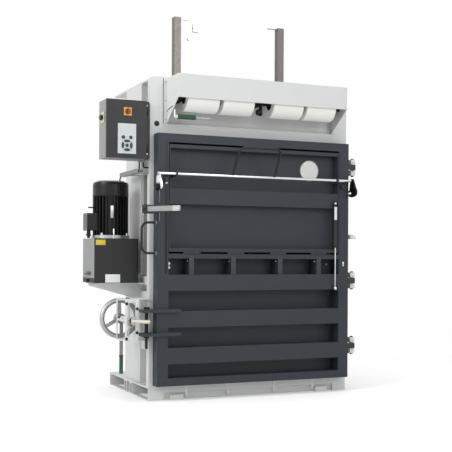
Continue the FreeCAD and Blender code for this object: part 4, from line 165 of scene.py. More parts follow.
def grain(tree, place, shader, size_mm, depth_mm, strength, stretch=(1, 1, 1)):
    """Fine relief of the given size and depth; stretch draws it out into lines."""
    mapped = add(tree, "ShaderNodeMapping", {"Vector": place, "Scale": stretch})
    height = noise(tree, mapped.outputs["Vector"], size_mm, 3.0)
    relief = add(tree, "ShaderNodeBump", {"Height": height, "Distance": depth_mm * MM, "Strength": strength})
    tree.links.new(relief.outputs["Normal"], shader.inputs["Normal"])


def orange_peel(tree, place, shader, low, high):
    """The skin of stoved powder. Real peel is about 2 mm across; it is drawn at 6 mm so that it shows."""
    vary_roughness(tree, place, shader, low, high, 60)
    grain(tree, place, shader, 6, 0.12, 0.35)


def powder_coat(name, colour, shade, roughness):
    """Stoved polyester powder on sheet steel: an even satin skin with a faint orange peel."""
    made, tree, place, shader = start_finish(name, colour, 0.0, roughness)
    vary_colour(tree, place, shader, colour, shade, 240)
    orange_peel(tree, place, shader, roughness - 0.05, roughness + 0.07)
    return made


def plated(name, colour, shade, low, high, streak=(1, 1, 1), size_mm=8):
    """Plated, drawn or brushed metal: sharp highlights broken by fine lines."""
    made, tree, place, shader = start_finish(name, colour, 1.0, low)
    vary_colour(tree, place, shader, colour, shade, 30)
    vary_roughness(tree, place, shader, low, high, 20)
    grain(tree, place, shader, size_mm, 0.05, 0.4, streak)
    return made


def moulded(name, colour, shade, roughness, size_mm=3):
    """Moulded plastic: even colour, a soft highlight and a fine spark-eroded grain."""
    made, tree, place, shader = start_finish(name, colour, 0.0, roughness)
    vary_colour(tree, place, shader, colour, shade, 40)
    vary_roughness(tree, place, shader, roughness - 0.06, roughness + 0.06, 12)
    grain(tree, place, shader, size_mm, 0.08, 0.4)
    return made


def wound_strap(name):
    """Woven white polyester strap wound on its core. The tape lies in slightly slanting turns about 13 mm
    apart; on the roll's ends its edges show as fine rings in relief, coloured a little darker as painted
    shade in the grooves between turns."""
    made, tree, place, shader = start_finish(name, "#efefec", 0.0, 0.75)
    turn_pitch, layer_pitch = 0.013, 0.0045
    edge_share, weave_scale, weave_share = 0.18, 420.0, 0.25
    split = add(tree, "ShaderNodeSeparateXYZ", {"Vector": place})
    off_y = maths(tree, "SUBTRACT", split.outputs["Y"], ROLL_AXIS[0] * MM)
    off_z = maths(tree, "SUBTRACT", split.outputs["Z"], ROLL_AXIS[1] * MM)
    flat = add(tree, "ShaderNodeCombineXYZ", {"X": off_y, "Y": off_z})
    radius = add(tree, "ShaderNodeVectorMath", {0: flat.outputs["Vector"]}, operation="LENGTH")
    turn = maths(tree, "ARCTAN2", off_y, off_z)
    slant = maths(tree, "MULTIPLY_ADD", turn, turn_pitch / math.tau, split.outputs["X"])
    winding = maths(tree, "DIVIDE", slant, turn_pitch)
    layer = maths(tree, "DIVIDE", radius.outputs["Value"], layer_pitch)
    tooth = maths(tree, "PINGPONG", maths(tree, "ADD", winding, layer), 1.0)
    edge = add(tree, "ShaderNodeMapRange", {"Value": tooth, "From Max": edge_share}).outputs["Result"]
    weave = add(tree, "ShaderNodeTexNoise", {"Vector": place, "Scale": weave_scale, "Detail": 2.0})
    height = maths(tree, "MULTIPLY_ADD", weave.outputs["Fac"], weave_share, edge)
    relief = add(tree, "ShaderNodeBump", {"Height": height, "Distance": 0.4 * MM, "Strength": 0.12})
    # painted shade: the turns' edges are coloured darker than the tape's face
    tree.links.new(blend(tree, edge, "#ebebe8", "#f2f2ef"), shader.inputs["Base Color"])
    tree.links.new(relief.outputs["Normal"], shader.inputs["Normal"])
    return made


def chrome_with_painted_dark_reflection(name, limit_x):
    """Bright chrome on a bar, with dull black to the right of limit_x: a painted dark reflection on the hook
    there.
    """
    chrome, black, chrome_roughness, black_roughness = "#e4e6e8", "#2b2c2e", 0.12, 0.50
    made, tree, place, shader = start_finish(name, chrome, 1.0, chrome_roughness)
    split = add(tree, "ShaderNodeSeparateXYZ", {"Vector": place})
    right = maths(tree, "GREATER_THAN", split.outputs["X"], limit_x)
    # painted dark reflection: the chrome right of limit_x is coloured dull black
    tree.links.new(blend(tree, right, chrome, black), shader.inputs["Base Color"])
    tree.links.new(spread(tree, right, chrome_roughness, black_roughness), shader.inputs["Roughness"])
    return made


def dark_with_painted_reflection(name, dark, light, limit_x, limit_z, roughness):
    """Dark powder coat with a light patch left of limit_x and above limit_z: a painted reflection of a
    bright light on that side.
    """
    made, tree, place, shader = start_finish(name, dark, 0.0, roughness)
    split = add(tree, "ShaderNodeSeparateXYZ", {"Vector": place})
    left = maths(tree, "LESS_THAN", split.outputs["X"], limit_x)
    above = maths(tree, "GREATER_THAN", split.outputs["Z"], limit_z)
    painted_reflection = maths(tree, "MULTIPLY", left, above)
    # painted reflection: the light grey patch stands for the bright light mirrored in the dark paint
    tree.links.new(blend(tree, painted_reflection, dark, light), shader.inputs["Base Color"])
    orange_peel(tree, place, shader, roughness - 0.05, roughness + 0.05)
    return made


finishes = {
    # polyester powder on the body: light grey, satin
    "grey_powder": powder_coat("light_grey_powder_coat", "#dbdcdb", "#d4d6d5", 0.42),
    # anthracite powder on the door: low gloss, cold highlight along folds
    "anthracite_powder": powder_coat("anthracite_powder_coat", "#33373e", "#2f3339", 0.44),
    # black powder on the cabinet's door and bracket and on the strut's tube
    "black_powder": powder_coat("black_powder_coat", "#2e2e30", "#28282a", 0.42),
    # machine enamel on the motor: deeper and glossier than powder
    "motor_enamel": powder_coat("black_machine_enamel", "#1b1c1d", "#171819", 0.20),
    # the tank: near black, with its left side above 0.8 m painted light grey, a painted reflection of the
    # bright light at the left
    "tank_coat_with_painted_reflection": dark_with_painted_reflection("tank_powder_coat_with_painted_reflection", "#252527", "#8f9090", -1.0585, 0.800, 0.40),
    # the cabinet's case: the same powder in a darker grey
    "cabinet_powder": powder_coat("mid_grey_powder_coat", "#929493", "#8c8e8d", 0.42),
    "handle_powder": powder_coat("handle_black_powder_coat", "#232325", "#1d1d1f", 0.38),
    # bright zinc: blue-white, slightly cloudy
    "zinc": plated("bright_zinc_plate", "#c3c5c6", "#aeb0b2", 0.24, 0.42),
    # cold-drawn tube, oiled: brownish grey with lines along its length
    "drawn_tube": plated("cold_drawn_steel", "#75726e", "#625f5b", 0.28, 0.46, (1, 1, 0.03), 3),
    # zinc gone dull: grey, with little shine
    "dull_zinc": plated("dull_zinc_plate", "#9b9c9b", "#898a8a", 0.36, 0.52),
    # yellow-passivated zinc: a warm cream tint
    "cream_zinc": plated("cream_passivated_zinc", "#dad9c8", "#cdccba", 0.34, 0.48),
    # chrome rod whose right hook carries a painted dark reflection
    "latch_chrome": chrome_with_painted_dark_reflection("chrome_rod_with_painted_dark_reflection", 0.705),
    "chrome": plated("bright_chrome_plate", "#e4e6e8", "#d6d8da", 0.08, 0.18),
    # blackened casting: rough, dull, with small glints
    "black_casting": plated("blackened_casting", "#3a3b3d", "#2b2c2e", 0.42, 0.60, size_mm=4),
    "cast_alloy": plated("cast_and_painted_alloy", "#b9baba", "#acadad", 0.40, 0.55, size_mm=4),
    "green_grip": moulded("green_pvc_grip", "#2f5a41", "#284d38", 0.48),
    "black_abs": moulded("black_abs", "#1c1d1e", "#161718", 0.38),
    # grey standing for the shade in the gap between post and column: painted shadow
    "painted_shadow_grey": moulded("painted_shadow_grey", "#747472", "#6c6c6a", 0.60),
    "orange_switch": moulded("red_orange_polyamide", "#8c3c14", "#7d3410", 0.35),
    "amber_film": moulded("amber_film", "#d9a53c", "#cf9b34", 0.42, 5),
    "brown_film": moulded("brown_film", "#7a5524", "#6e4c20", 0.45, 5),
    "lemon_film": moulded("pale_yellow_film", "#d9da8e", "#d1d286", 0.45, 5),
    "key_rubber": moulded("dark_key_rubber", "#3a4144", "#33393c", 0.50),
    "key_film": moulded("grey_polyester_film", "#ccd2d2", "#c6cccc", 0.34, 5),
    "strap": wound_strap("wound_polyester_strap"),
    # soft black PVC jacket, slightly shiny
    "cable_jacket": moulded("black_pvc_jacket", "#151617", "#101112", 0.42),
    # blank plates: satin aluminium, white or yellow film
    "satin_plate": plated("satin_aluminium_plate", "#c4c4c3", "#b9b9b8", 0.30, 0.42, (1, 0.05, 1), 2),
    "white_film": moulded("white_polyester_film", "#e6e7e5", "#e0e1df", 0.45, 5),
    "yellow_film": moulded("yellow_polyester_film", "#d9c138", "#d0b831", 0.45, 5),
    # dark cardboard core
    "brown_core": moulded("kraft_board_core", "#4a3a2e", "#3b2e25", 0.85),
    "dark_glass": moulded("dark_sight_glass", "#17191a", "#121415", 0.12, 9),
}

NODES_BY_FINISH = {
    "grey_powder": "base_frame front_posts press_chamber side_column_left side_column_right header_beam "
                   "top_plate platen lock_housing roll_hood tank_bracket",
    "anthracite_powder": "door_frame door_fittings strap_guides flap_panel",
    "black_powder": "press_cylinders strut_tube cabinet_bracket cabinet_door",
    "motor_enamel": "motor_body terminal_box fan_cowl",
    "handle_powder": "grab_handle pull_handle",
    "tank_coat_with_painted_reflection": "oil_tank", "cabinet_powder": "cabinet_case",
    "zinc": "post_hinges switch_plates lock_spindle strap_needle",
    "dull_zinc": "door_lever ratchet_lever cable_tray", "cream_zinc": "lock_arm",
    "drawn_tube": "guide_posts", "chrome": "press_rods strut_rod", "latch_chrome": "latch_rod",
    "black_casting": "lock_pin roll_carrier", "cast_alloy": "hand_wheel",
    "white_film": "floor_stops strap_ends", "satin_plate": "blank_disc", "key_film": "key_panel",
    "green_grip": "ratchet_grip", "orange_switch": "switch_knob", "black_abs": "stop_knob",
    "cable_jacket": "control_cables",
    "strap": "strap_roll_1 strap_roll_2 strap_roll_3 strap_roll_4",
    "key_rubber": "key_left key_right key_centre key_up key_down key_ring_left key_ring_right",
}


def dress_nodes():
    """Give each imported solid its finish."""
    for finish, names in NODES_BY_FINISH.items():
        for name in names.split():
            nodes[name].data.materials.clear()
            nodes[name].data.materials.append(finishes[finish])


# ------------------------------------ ways to make a piece

def finished(name, mesh_tool, finish, body):
    """Turn a bmesh into a named piece that rides on a body; only blunt edges shade smoothly."""
    bmesh.ops.remove_doubles(mesh_tool, verts=mesh_tool.verts, dist=1e-6)
    bmesh.ops.recalc_face_normals(mesh_tool, faces=mesh_tool.faces)
    for face in mesh_tool.faces:
        face.smooth = True
    for edge in mesh_tool.edges:
        if len(edge.link_faces) == 2 and edge.calc_face_angle(0) > SMOOTH_BELOW:
            edge.smooth = False
    mesh = bpy.data.meshes.new(name)
    mesh_tool.to_mesh(mesh)
    mesh_tool.free()
    mesh.materials.append(finishes[finish])
    piece = linked(name, mesh)
    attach(piece, body)
    return piece


def add_block(mesh_tool, low, high, bevel):
    """A bar or plate with rounded edges, from its corners and bevel in millimetres."""
    corners = bmesh.ops.create_cube(mesh_tool, size=1)["verts"]
    size = [(b - a) * MM for a, b in zip(low, high)]
    middle = [(a + b) / 2 * MM for a, b in zip(low, high)]
    bmesh.ops.scale(mesh_tool, vec=size, verts=corners)
    bmesh.ops.translate(mesh_tool, vec=middle, verts=corners)
    edges = list(dict.fromkeys(edge for corner in corners for edge in corner.link_edges))
    bmesh.ops.bevel(mesh_tool, geom=edges, offset=min(bevel * MM, min(size) * 0.45), segments=2, profile=0.6,
                    affect="EDGES")


AXES = {
    "x": Matrix(((0, 0, 1), (1, 0, 0), (0, 1, 0))),
    "y": Matrix(((1, 0, 0), (0, 0, 1), (0, -1, 0))),
    "z": Matrix.Identity(3),
}


def add_turned(mesh_tool, centre, axis, profile, sides=32):
    """A turned piece: the profile is (radius, distance along the axis) in millimetres."""
    rings = []
    for radius, along in profile:
        ring = []
        count = 1 if radius == 0 else sides
        for step in range(count):
            turn = math.tau * step / sides
            point = AXES[axis] @ Vector((radius * math.cos(turn), radius * math.sin(turn), along))
            ring.append(mesh_tool.verts.new((Vector(centre) + point) * MM))
        rings.append(ring)
    for lower, upper in zip(rings, rings[1:]):
        for step in range(sides):
            after = (step + 1) % sides
            around = [lower[step % len(lower)], lower[after % len(lower)], upper[after % len(upper)],
                      upper[step % len(upper)]]
            unique = list(dict.fromkeys(around))
            if len(unique) > 2:
                mesh_tool.faces.new(unique)


def add_plate(mesh_tool, outline, axis, start, thickness):
    """A flat plate cut to an outline. The outline's points hold the two other axes' places in their
    order x, y, z; the plate fills the thickness from start along the axis. All in millimetres."""
    along, first, second = {"x": (0, 1, 2), "y": (1, 0, 2), "z": (2, 0, 1)}[axis]
    loops = []
    for level in (start, start + thickness):
        loop = []
        for a, b in outline:
            place = [0, 0, 0]
            place[along], place[first], place[second] = level, a, b
            loop.append(mesh_tool.verts.new(Vector(place) * MM))
        mesh_tool.faces.new(loop)
        loops.append(loop)
    lower, upper = loops
    for step in range(len(outline)):
        after = (step + 1) % len(outline)
        mesh_tool.faces.new((lower[step], lower[after], upper[after], upper[step]))


def add_pierced(mesh_tool, middle, half, hole, start, thickness, count=32):
    """A square plate that faces the front, with a round hole in its middle; in millimetres."""
    loops = []
    end = start + thickness
    for level, outer in ((start, False), (start, True), (end, True), (end, False)):
        loop = []
        for step in range(count):
            across, up = math.cos(math.tau * step / count), math.sin(math.tau * step / count)
            reach = half / max(abs(across), abs(up)) if outer else hole
            place = Vector((middle[0] + reach * across, level, middle[1] + reach * up))
            loop.append(mesh_tool.verts.new(place * MM))
        loops.append(loop)
    for near, far in zip(loops, loops[1:] + loops[:1]):
        for step in range(count):
            after = (step + 1) % count
            mesh_tool.faces.new((near[step], near[after], far[after], far[step]))


def oval(middle, reach, count=32):
    """Points of an oval round a middle point, from its two half widths."""
    return [(middle[0] + reach[0] * math.cos(math.tau * k / count),
             middle[1] + reach[1] * math.sin(math.tau * k / count)) for k in range(count)]


def bored(*points):
    """The profile of a turned piece with a bore: its last point joins its first."""
    return [*points, points[0]]


def on_spindle(y):
    """A point on the axis of the lock's spindle, in millimetres."""
    return SPINDLE_AXIS[0], y, SPINDLE_AXIS[1]


def blocks(name, corners, bevel, finish, body):
    """A piece made of blocks, each given by its two corners."""
    tool = bmesh.new()
    for low, high in corners:
        add_block(tool, low, high, bevel)
    finished(name, tool, finish, body)


def turned(name, shapes, finish, body):
    """A piece made of turned shapes, each given as add_turned takes it."""
    tool = bmesh.new()
    for shape in shapes:
        add_turned(tool, *shape)
    finished(name, tool, finish, body)


# ------------------------------------ floor and light

def floor_and_light():
    """Plain pale floor and soft studio light, stronger from the left as in the photograph. The floor
    brightens to plain white between two distances from the part, and the camera sees the room white."""
    shaded_to, white_from = 1.6, 3.4
    floor_haze, room_light = 0.22, 0.42
    tool = bmesh.new()
    bmesh.ops.create_grid(tool, x_segments=1, y_segments=1, size=30)
    mesh = bpy.data.meshes.new("studio_floor")
    tool.to_mesh(mesh)
    tool.free()
    paper = bpy.data.materials.new("white_studio_paper")
    paper.use_nodes = True
    tree = paper.node_tree
    tree.nodes.clear()
    place = add(tree, "ShaderNodeTexCoord").outputs["Object"]
    away = add(tree, "ShaderNodeVectorMath", {0: place}, operation="LENGTH")
    far = add(tree, "ShaderNodeMapRange", {
        "Value": away.outputs["Value"], "From Min": shaded_to, "From Max": white_from},
              interpolation_type="SMOOTHSTEP")
    ray = add(tree, "ShaderNodeLightPath")
    matt = add(tree, "ShaderNodeBsdfDiffuse", {"Color": linear("#fbfbfb")})
    lift = maths(tree, "MULTIPLY", ray.outputs["Is Camera Ray"], floor_haze)
    haze = add(tree, "ShaderNodeEmission", {"Strength": lift})
    near = add(tree, "ShaderNodeAddShader", {0: matt.outputs["BSDF"], 1: haze.outputs["Emission"]})
    white = add(tree, "ShaderNodeEmission", {"Strength": 1.0})
    seen_far = maths(tree, "MULTIPLY", far.outputs["Result"], ray.outputs["Is Camera Ray"])
    both = add(tree, "ShaderNodeMixShader", {0: seen_far, 1: near.outputs[0], 2: white.outputs["Emission"]})
    add(tree, "ShaderNodeOutputMaterial", {"Surface": both.outputs["Shader"]})
    mesh.materials.append(paper)
    floor = linked("studio_floor", mesh)

    world = bpy.data.worlds.new("studio_white")
    bpy.context.scene.world = world
    world.use_nodes = True
    tree = world.node_tree
    tree.nodes.clear()
    ray = add(tree, "ShaderNodeLightPath")
    seen = maths(tree, "MAXIMUM", ray.outputs["Is Camera Ray"], ray.outputs["Is Glossy Ray"])
    strength = spread(tree, seen, room_light, 1.0)
    glow = add(tree, "ShaderNodeBackground", {"Color": (1, 1, 1, 1), "Strength": strength})
    add(tree, "ShaderNodeOutputWorld", {"Surface": glow.outputs["Background"]})

    lamps = (  # name, place, target, size, watts
        ("left_softbox", (-5.5, -2.2, 3.6), (0, -0.2, 1.1), 3.0, 170),
        ("front_softbox", (1.5, -7.5, 4.2), (0, 0, 1.3), 3.5, 130),
        ("top_softbox", (0, -0.5, 6.5), (0, 0, 0), 4.0, 190),
    )
    for name, place, target, size, power in lamps:
        data = bpy.data.lights.new(name, "AREA")
        data.shape = "SQUARE"
        data.size = size
        data.energy = power
        lamp = linked(name, data)
        lamp.location = place
        lamp.rotation_euler = (Vector(target) - Vector(place)).to_track_quat("-Z", "Y").to_euler()
    bpy.context.scene.view_settings.view_transform = "Standard"


# ------------------------------------ cables

POWER_ROUTE = (
    (-0.800, -0.410, 1.559), (-0.800, -0.410, 1.528), (-0.800, -0.405, 1.500), (-0.799, -0.330, 1.498),
    (-0.798, -0.180, 1.497), (-0.799, -0.060, 1.498), (-0.800, 0.012, 1.492), (-0.801, 0.019, 1.420),
    (-0.802, 0.018, 1.300), (-0.802, 0.016, 1.176), (-0.862, 0.017, 1.169), (-0.960, 0.017, 1.170),
    (-1.045, 0.013, 1.171), (-1.0475, -0.035, 1.171), (-1.0475, -0.079, 1.171),
)
SENSE_ROUTE = (
    (-0.773, -0.410, 1.559), (-0.773, -0.410, 1.530), (-0.766, -0.410, 1.523), (-0.738, -0.410, 1.523),
)


def cable(name, route):
    """A soft black cable on one smooth curve, fixed in a gland at both ends."""
    curve = bpy.data.curves.new(name, "CURVE")
    curve.dimensions = "3D"
    curve.resolution_u = 8
    curve.bevel_depth = 5 * MM
    curve.bevel_resolution = 3
    curve.use_fill_caps = True
    spline = curve.splines.new("NURBS")
    spline.points.add(len(route) - 1)
    for point, place in zip(spline.points, route):
        point.co = (*place, 1)
    spline.order_u = 3
    spline.use_endpoint_u = True
    curve.materials.append(finishes["cable_jacket"])
    piece = linked(name, curve)
    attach(piece, "press_body")
    return piece


def control_cables():
    """Motor cable through the tray and down behind the motor, and a short one into the post."""
    power = cable("motor_cable", POWER_ROUTE)
    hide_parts("control_cables")
    cable("post_cable", SENSE_ROUTE)


# ------------------------------------ what repeats

def new_tree(name, inputs):
    """A geometry tree with named inputs; returns the tree and its input node."""
    tree = bpy.data.node_groups.new(name, "GeometryNodeTree")
    tree.interface.new_socket("Geometry", in_out="INPUT", socket_type="NodeSocketGeometry")
    tree.interface.new_socket("Geometry", in_out="OUTPUT", socket_type="NodeSocketGeometry")
    for label, kind in inputs:
        tree.interface.new_socket(label, in_out="INPUT", socket_type=kind)
    return tree, add(tree, "NodeGroupInput")


def end_tree(tree, shapes, given):
    """Realize the instances, set the finish and hand the result on."""
    real = add(tree, "GeometryNodeRealizeInstances", {"Geometry": shapes})
    dressed = add(tree, "GeometryNodeSetMaterial", {"Geometry": real.outputs[0],
                                                    "Material": given.outputs["Finish"]})
    add(tree, "NodeGroupOutput", {"Geometry": dressed.outputs[0]})
    return tree


def bolt_tree():
    """A head with a chamfer on a washer, stood on each point and turned to the point's own facing."""
    tree, given = new_tree("bolt_heads", (
        ("Radius", "NodeSocketFloat"), ("Height", "NodeSocketFloat"), ("Sides", "NodeSocketInt"),
        ("Washer", "NodeSocketFloat"), ("Finish", "NodeSocketMaterial")))
    radius, height = given.outputs["Radius"], given.outputs["Height"]
    washer_share, shank_share, crown_share, chamfered_share = 0.22, 0.80, 0.20, 0.80
    washer_height = maths(tree, "MULTIPLY", height, washer_share)
    shank_height = maths(tree, "MULTIPLY", height, shank_share)
    crown_height = maths(tree, "MULTIPLY", height, crown_share)
    crown_radius = maths(tree, "MULTIPLY", radius, chamfered_share)
    washer = add(tree, "GeometryNodeMeshCone", {
        "Vertices": 20, "Radius Bottom": given.outputs["Washer"], "Radius Top": given.outputs["Washer"],
        "Depth": washer_height})
    shank = add(tree, "GeometryNodeMeshCone", {
        "Vertices": given.outputs["Sides"], "Radius Bottom": radius, "Radius Top": radius,
        "Depth": shank_height})
    crown = add(tree, "GeometryNodeMeshCone", {
        "Vertices": given.outputs["Sides"], "Radius Bottom": radius, "Radius Top": crown_radius,
        "Depth": crown_height})
    lift = add(tree, "ShaderNodeCombineXYZ", {"Z": shank_height})
    raised = add(tree, "GeometryNodeTransform", {"Geometry": crown.outputs["Mesh"],
                                                 "Translation": lift.outputs["Vector"]})
    head = add(tree, "GeometryNodeJoinGeometry")
    for shape in (washer.outputs["Mesh"], shank.outputs["Mesh"], raised.outputs["Geometry"]):
        tree.links.new(shape, head.inputs["Geometry"])
    facing = add(tree, "GeometryNodeInputNamedAttribute", {"Name": "facing"}, data_type="FLOAT_VECTOR")
    turn = add(tree, "FunctionNodeAlignRotationToVector", {"Vector": facing.outputs["Attribute"]}, axis="Z")
    stood = add(tree, "GeometryNodeInstanceOnPoints", {
        "Points": given.outputs["Geometry"], "Instance": head.outputs["Geometry"],
        "Rotation": turn.outputs["Rotation"]})
    return end_tree(tree, stood.outputs["Instances"], given)


def weld_tree():
    """Overlapping ripples along a seam, as a hand weld leaves them."""
    tree, given = new_tree("weld_ripples", (
        ("Pitch", "NodeSocketFloat"), ("Radius", "NodeSocketFloat"), ("Finish", "NodeSocketMaterial")))
    path = add(tree, "GeometryNodeMeshToCurve", {"Mesh": given.outputs["Geometry"]})
    steps = add(tree, "GeometryNodeResampleCurve", {"Curve": path.outputs["Curve"],
                                                    "Length": given.outputs["Pitch"]}, mode="LENGTH")
    bead = add(tree, "GeometryNodeMeshUVSphere", {
        "Segments": 8, "Rings": 4, "Radius": given.outputs["Radius"]})
    size = add(tree, "FunctionNodeRandomValue", {
        "Min": (0.88, 0.88, 0.88), "Max": (1.12, 1.12, 1.12), "Seed": 7}, data_type="FLOAT_VECTOR")
    laid = add(tree, "GeometryNodeInstanceOnPoints", {
        "Points": steps.outputs["Curve"], "Instance": bead.outputs["Mesh"], "Scale": size.outputs["Value"]})
    return end_tree(tree, laid.outputs["Instances"], given)


def ring_tree():
    """Bars laid round an upright axis, such as the cowl's slots."""
    tree, given = new_tree("ring_of_bars", (
        ("Count", "NodeSocketInt"), ("Ring Radius", "NodeSocketFloat"), ("Bar Size", "NodeSocketVector"),
        ("Finish", "NodeSocketMaterial")))
    circle = add(tree, "GeometryNodeMeshCircle", {"Vertices": given.outputs["Count"],
                                                  "Radius": given.outputs["Ring Radius"]})
    moved = add(tree, "GeometryNodeTransform", {"Geometry": circle.outputs["Mesh"]})
    middle = add(tree, "GeometryNodeInputNamedAttribute", {"Name": "centre"}, data_type="FLOAT_VECTOR")
    host = add(tree, "GeometryNodeSampleIndex", {"Geometry": given.outputs["Geometry"],
                                                 "Value": middle.outputs["Attribute"], "Index": 0},
               data_type="FLOAT_VECTOR")
    tree.links.new(host.outputs["Value"], moved.inputs["Translation"])
    bar = add(tree, "GeometryNodeMeshCube", {"Size": given.outputs["Bar Size"]})
    place = add(tree, "GeometryNodeInputPosition")
    outward = add(tree, "ShaderNodeVectorMath", {0: place.outputs["Position"], 1: host.outputs["Value"]},
                  operation="SUBTRACT")
    turn = add(tree, "FunctionNodeAlignRotationToVector", {"Vector": outward.outputs["Vector"]}, axis="X")
    laid = add(tree, "GeometryNodeInstanceOnPoints", {
        "Points": moved.outputs["Geometry"], "Instance": bar.outputs["Mesh"],
        "Rotation": turn.outputs["Rotation"]})
    return end_tree(tree, laid.outputs["Instances"], given)


def grown(name, tree, points, edges, attributes, settings, body):
    """Run a geometry tree on a few points and keep the result as a plain mesh on a body."""
    mesh = bpy.data.meshes.new(name)
    mesh.from_pydata([Vector(point) * MM for point in points], edges, [])
    for label, vectors in attributes.items():
        layer = mesh.attributes.new(label, "FLOAT_VECTOR", "POINT")
        for item, vector in zip(layer.data, vectors):
            item.vector = vector
    host = linked(name + "_host", mesh)
    grower = host.modifiers.new("grow", "NODES")
    grower.node_group = tree
    for item in tree.interface.items_tree:
        if item.in_out == "INPUT" and item.name in settings:
            grower[item.identifier] = settings[item.name]
    bpy.context.view_layer.update()
    plain = bpy.data.meshes.new_from_object(host.evaluated_get(bpy.context.evaluated_depsgraph_get()))
    bpy.data.objects.remove(host)
    plain.name = name
    piece = linked(name, plain)
    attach(piece, body)


FACINGS = {"-x": (-1, 0, 0), "+x": (1, 0, 0), "-y": (0, -1, 0), "+z": (0, 0, 1)}


def bolts():
    """Every visible screw and bolt head, by place, facing and size in millimetres."""
    tree = bolt_tree()
    hinges = [(748, y, low + up) for low in HINGE_LOWS for up in (19, 95) for y in (-462, -410)]
    guides = [(x, -415, z) for x in GUIDE_MIDDLES for z in (908, 848)]
    flange = [(MOTOR_AXIS[0] + 120 * math.cos(turn), MOTOR_AXIS[1] + 120 * math.sin(turn), 1082)
              for turn in (math.radians(45 + 90 * k) for k in range(4))]
    sets = (  # name, body, slot, finish, facing, radius, height, sides, washer's radius, places
        ("hood_screws", "press_body", "zinc_steel", "zinc", "-y", 4, 3, 16, 4.5,
         [(x, -644, z) for x in (-606, 606) for z in (2098, 1976)]),
        ("hood_flange_screws", "press_body", "zinc_steel", "zinc", "-y", 5, 3.5, 6, 6,
         [(x, -440, z) for x in (-632, 632) for z in (1842, 1965, 2088)]),
        ("hinge_screws", "press_body", "zinc_steel", "zinc", "+x", 6, 4, 6, 8, hinges),
        ("guide_bolts", "front_door", "bright_chrome", "chrome", "-y", 6.5, 4, 6, 8.5, guides),
        ("bay_bolts", "front_door", "bright_chrome", "chrome", "-y", 7, 5, 6, 10,
         [(-592, -409, 897), (-592, -409, 872), (600, -409, 897)]),
        ("stile_bolt", "front_door", "bright_chrome", "chrome", "-y", 6, 4, 6, 8, [(-651, -520, 1422)]),
        ("nose_bolts", "front_door", "bright_chrome", "chrome", "-x", 6, 4, 6, 8,
         [(x - GUIDE_HALF_WIDTH, -486, 915) for x in GUIDE_MIDDLES]),
        ("flange_bolts", "press_body", "bright_chrome", "chrome", "+z", 7.5, 16, 6, 10, flange),
        ("terminal_screws", "press_body", "bright_chrome", "chrome", "-x", 4, 2.5, 16, 4.2,
         [(-1083.5, y, z) for y in (-170, -88) for z in (1122, 1220)]),
        ("tank_lid_screws", "press_body", "zinc_steel", "zinc", "+z", 5, 3, 6, 6.5,
         [(x, y, TANK_TOP) for x in (-1048, -769) for y in (-262, -129, 4)]),
        ("housing_bolts", "press_body", "cast_metal", "black_casting", "-y", 8, 7, 6, 10,
         [(-832, -480, 606), (-832, -480, 452), (-903, -480, 640), (-903, -480, 414)]),
        ("cabinet_screws", "press_body", "zinc_steel", "zinc", "-y", 4, 3, 6, 5.5,
         [(-745, -426, 1618), (-745, -426, 1902)]),
        ("plate_screws", "control_door", "zinc_steel", "zinc", "-y", 2.2, 1.2, 12, 2.4,
         [(x, -479, z) for x in (-922, -882) for z in (1851, 1891)]),
    )
    for name, body, slot, finish, facing, radius, height, sides, washer, places in sets:
        grown(name, tree, places, [], {"facing": [FACINGS[facing]] * len(places)},
              {"Radius": radius * MM, "Height": height * MM, "Sides": sides, "Washer": washer * MM,
               "Finish": finishes[finish]}, body)


def welds():
    """Hand-laid seams where plates meet: on the door's lugs and ribs, the base and the hinges."""
    tree = weld_tree()
    door = [((-708, -519.5, z), (-555, -519.5, z)) for z in (430, 450, 582, 602)]
    door += [((x, -514, low + 2), (x, -514, low + 104)) for low in (244, 482, 720) for x in (-633, 633)]
    body = [((x, -437, 93), (x, -392, 93)) for x in (-739, 739)]
    body += [((-735, -196, 93), (-718, -196, 93)), ((-718, -196, 93), (-718, 136, 93)),
             ((718, -196, 93), (718, 136, 93))]
    body += [((739, -436.5, low + up + 2), (739, -436.5, low + up + 36))
             for low in HINGE_LOWS for up in (0, 76)]
    for name, rider, slot, finish, seams in (
            ("door_welds", "front_door", "door_paint", "anthracite_powder", door),
            ("body_welds", "press_body", "body_paint", "grey_powder", body)):
        points = [point for seam in seams for point in seam]
        edges = [(2 * i, 2 * i + 1) for i in range(len(seams))]
        grown(name, tree, points, edges, {},
              {"Pitch": 3.2 * MM, "Radius": 3 * MM, "Finish": finishes[finish]}, rider)


# ------------------------------------ hood and rolls

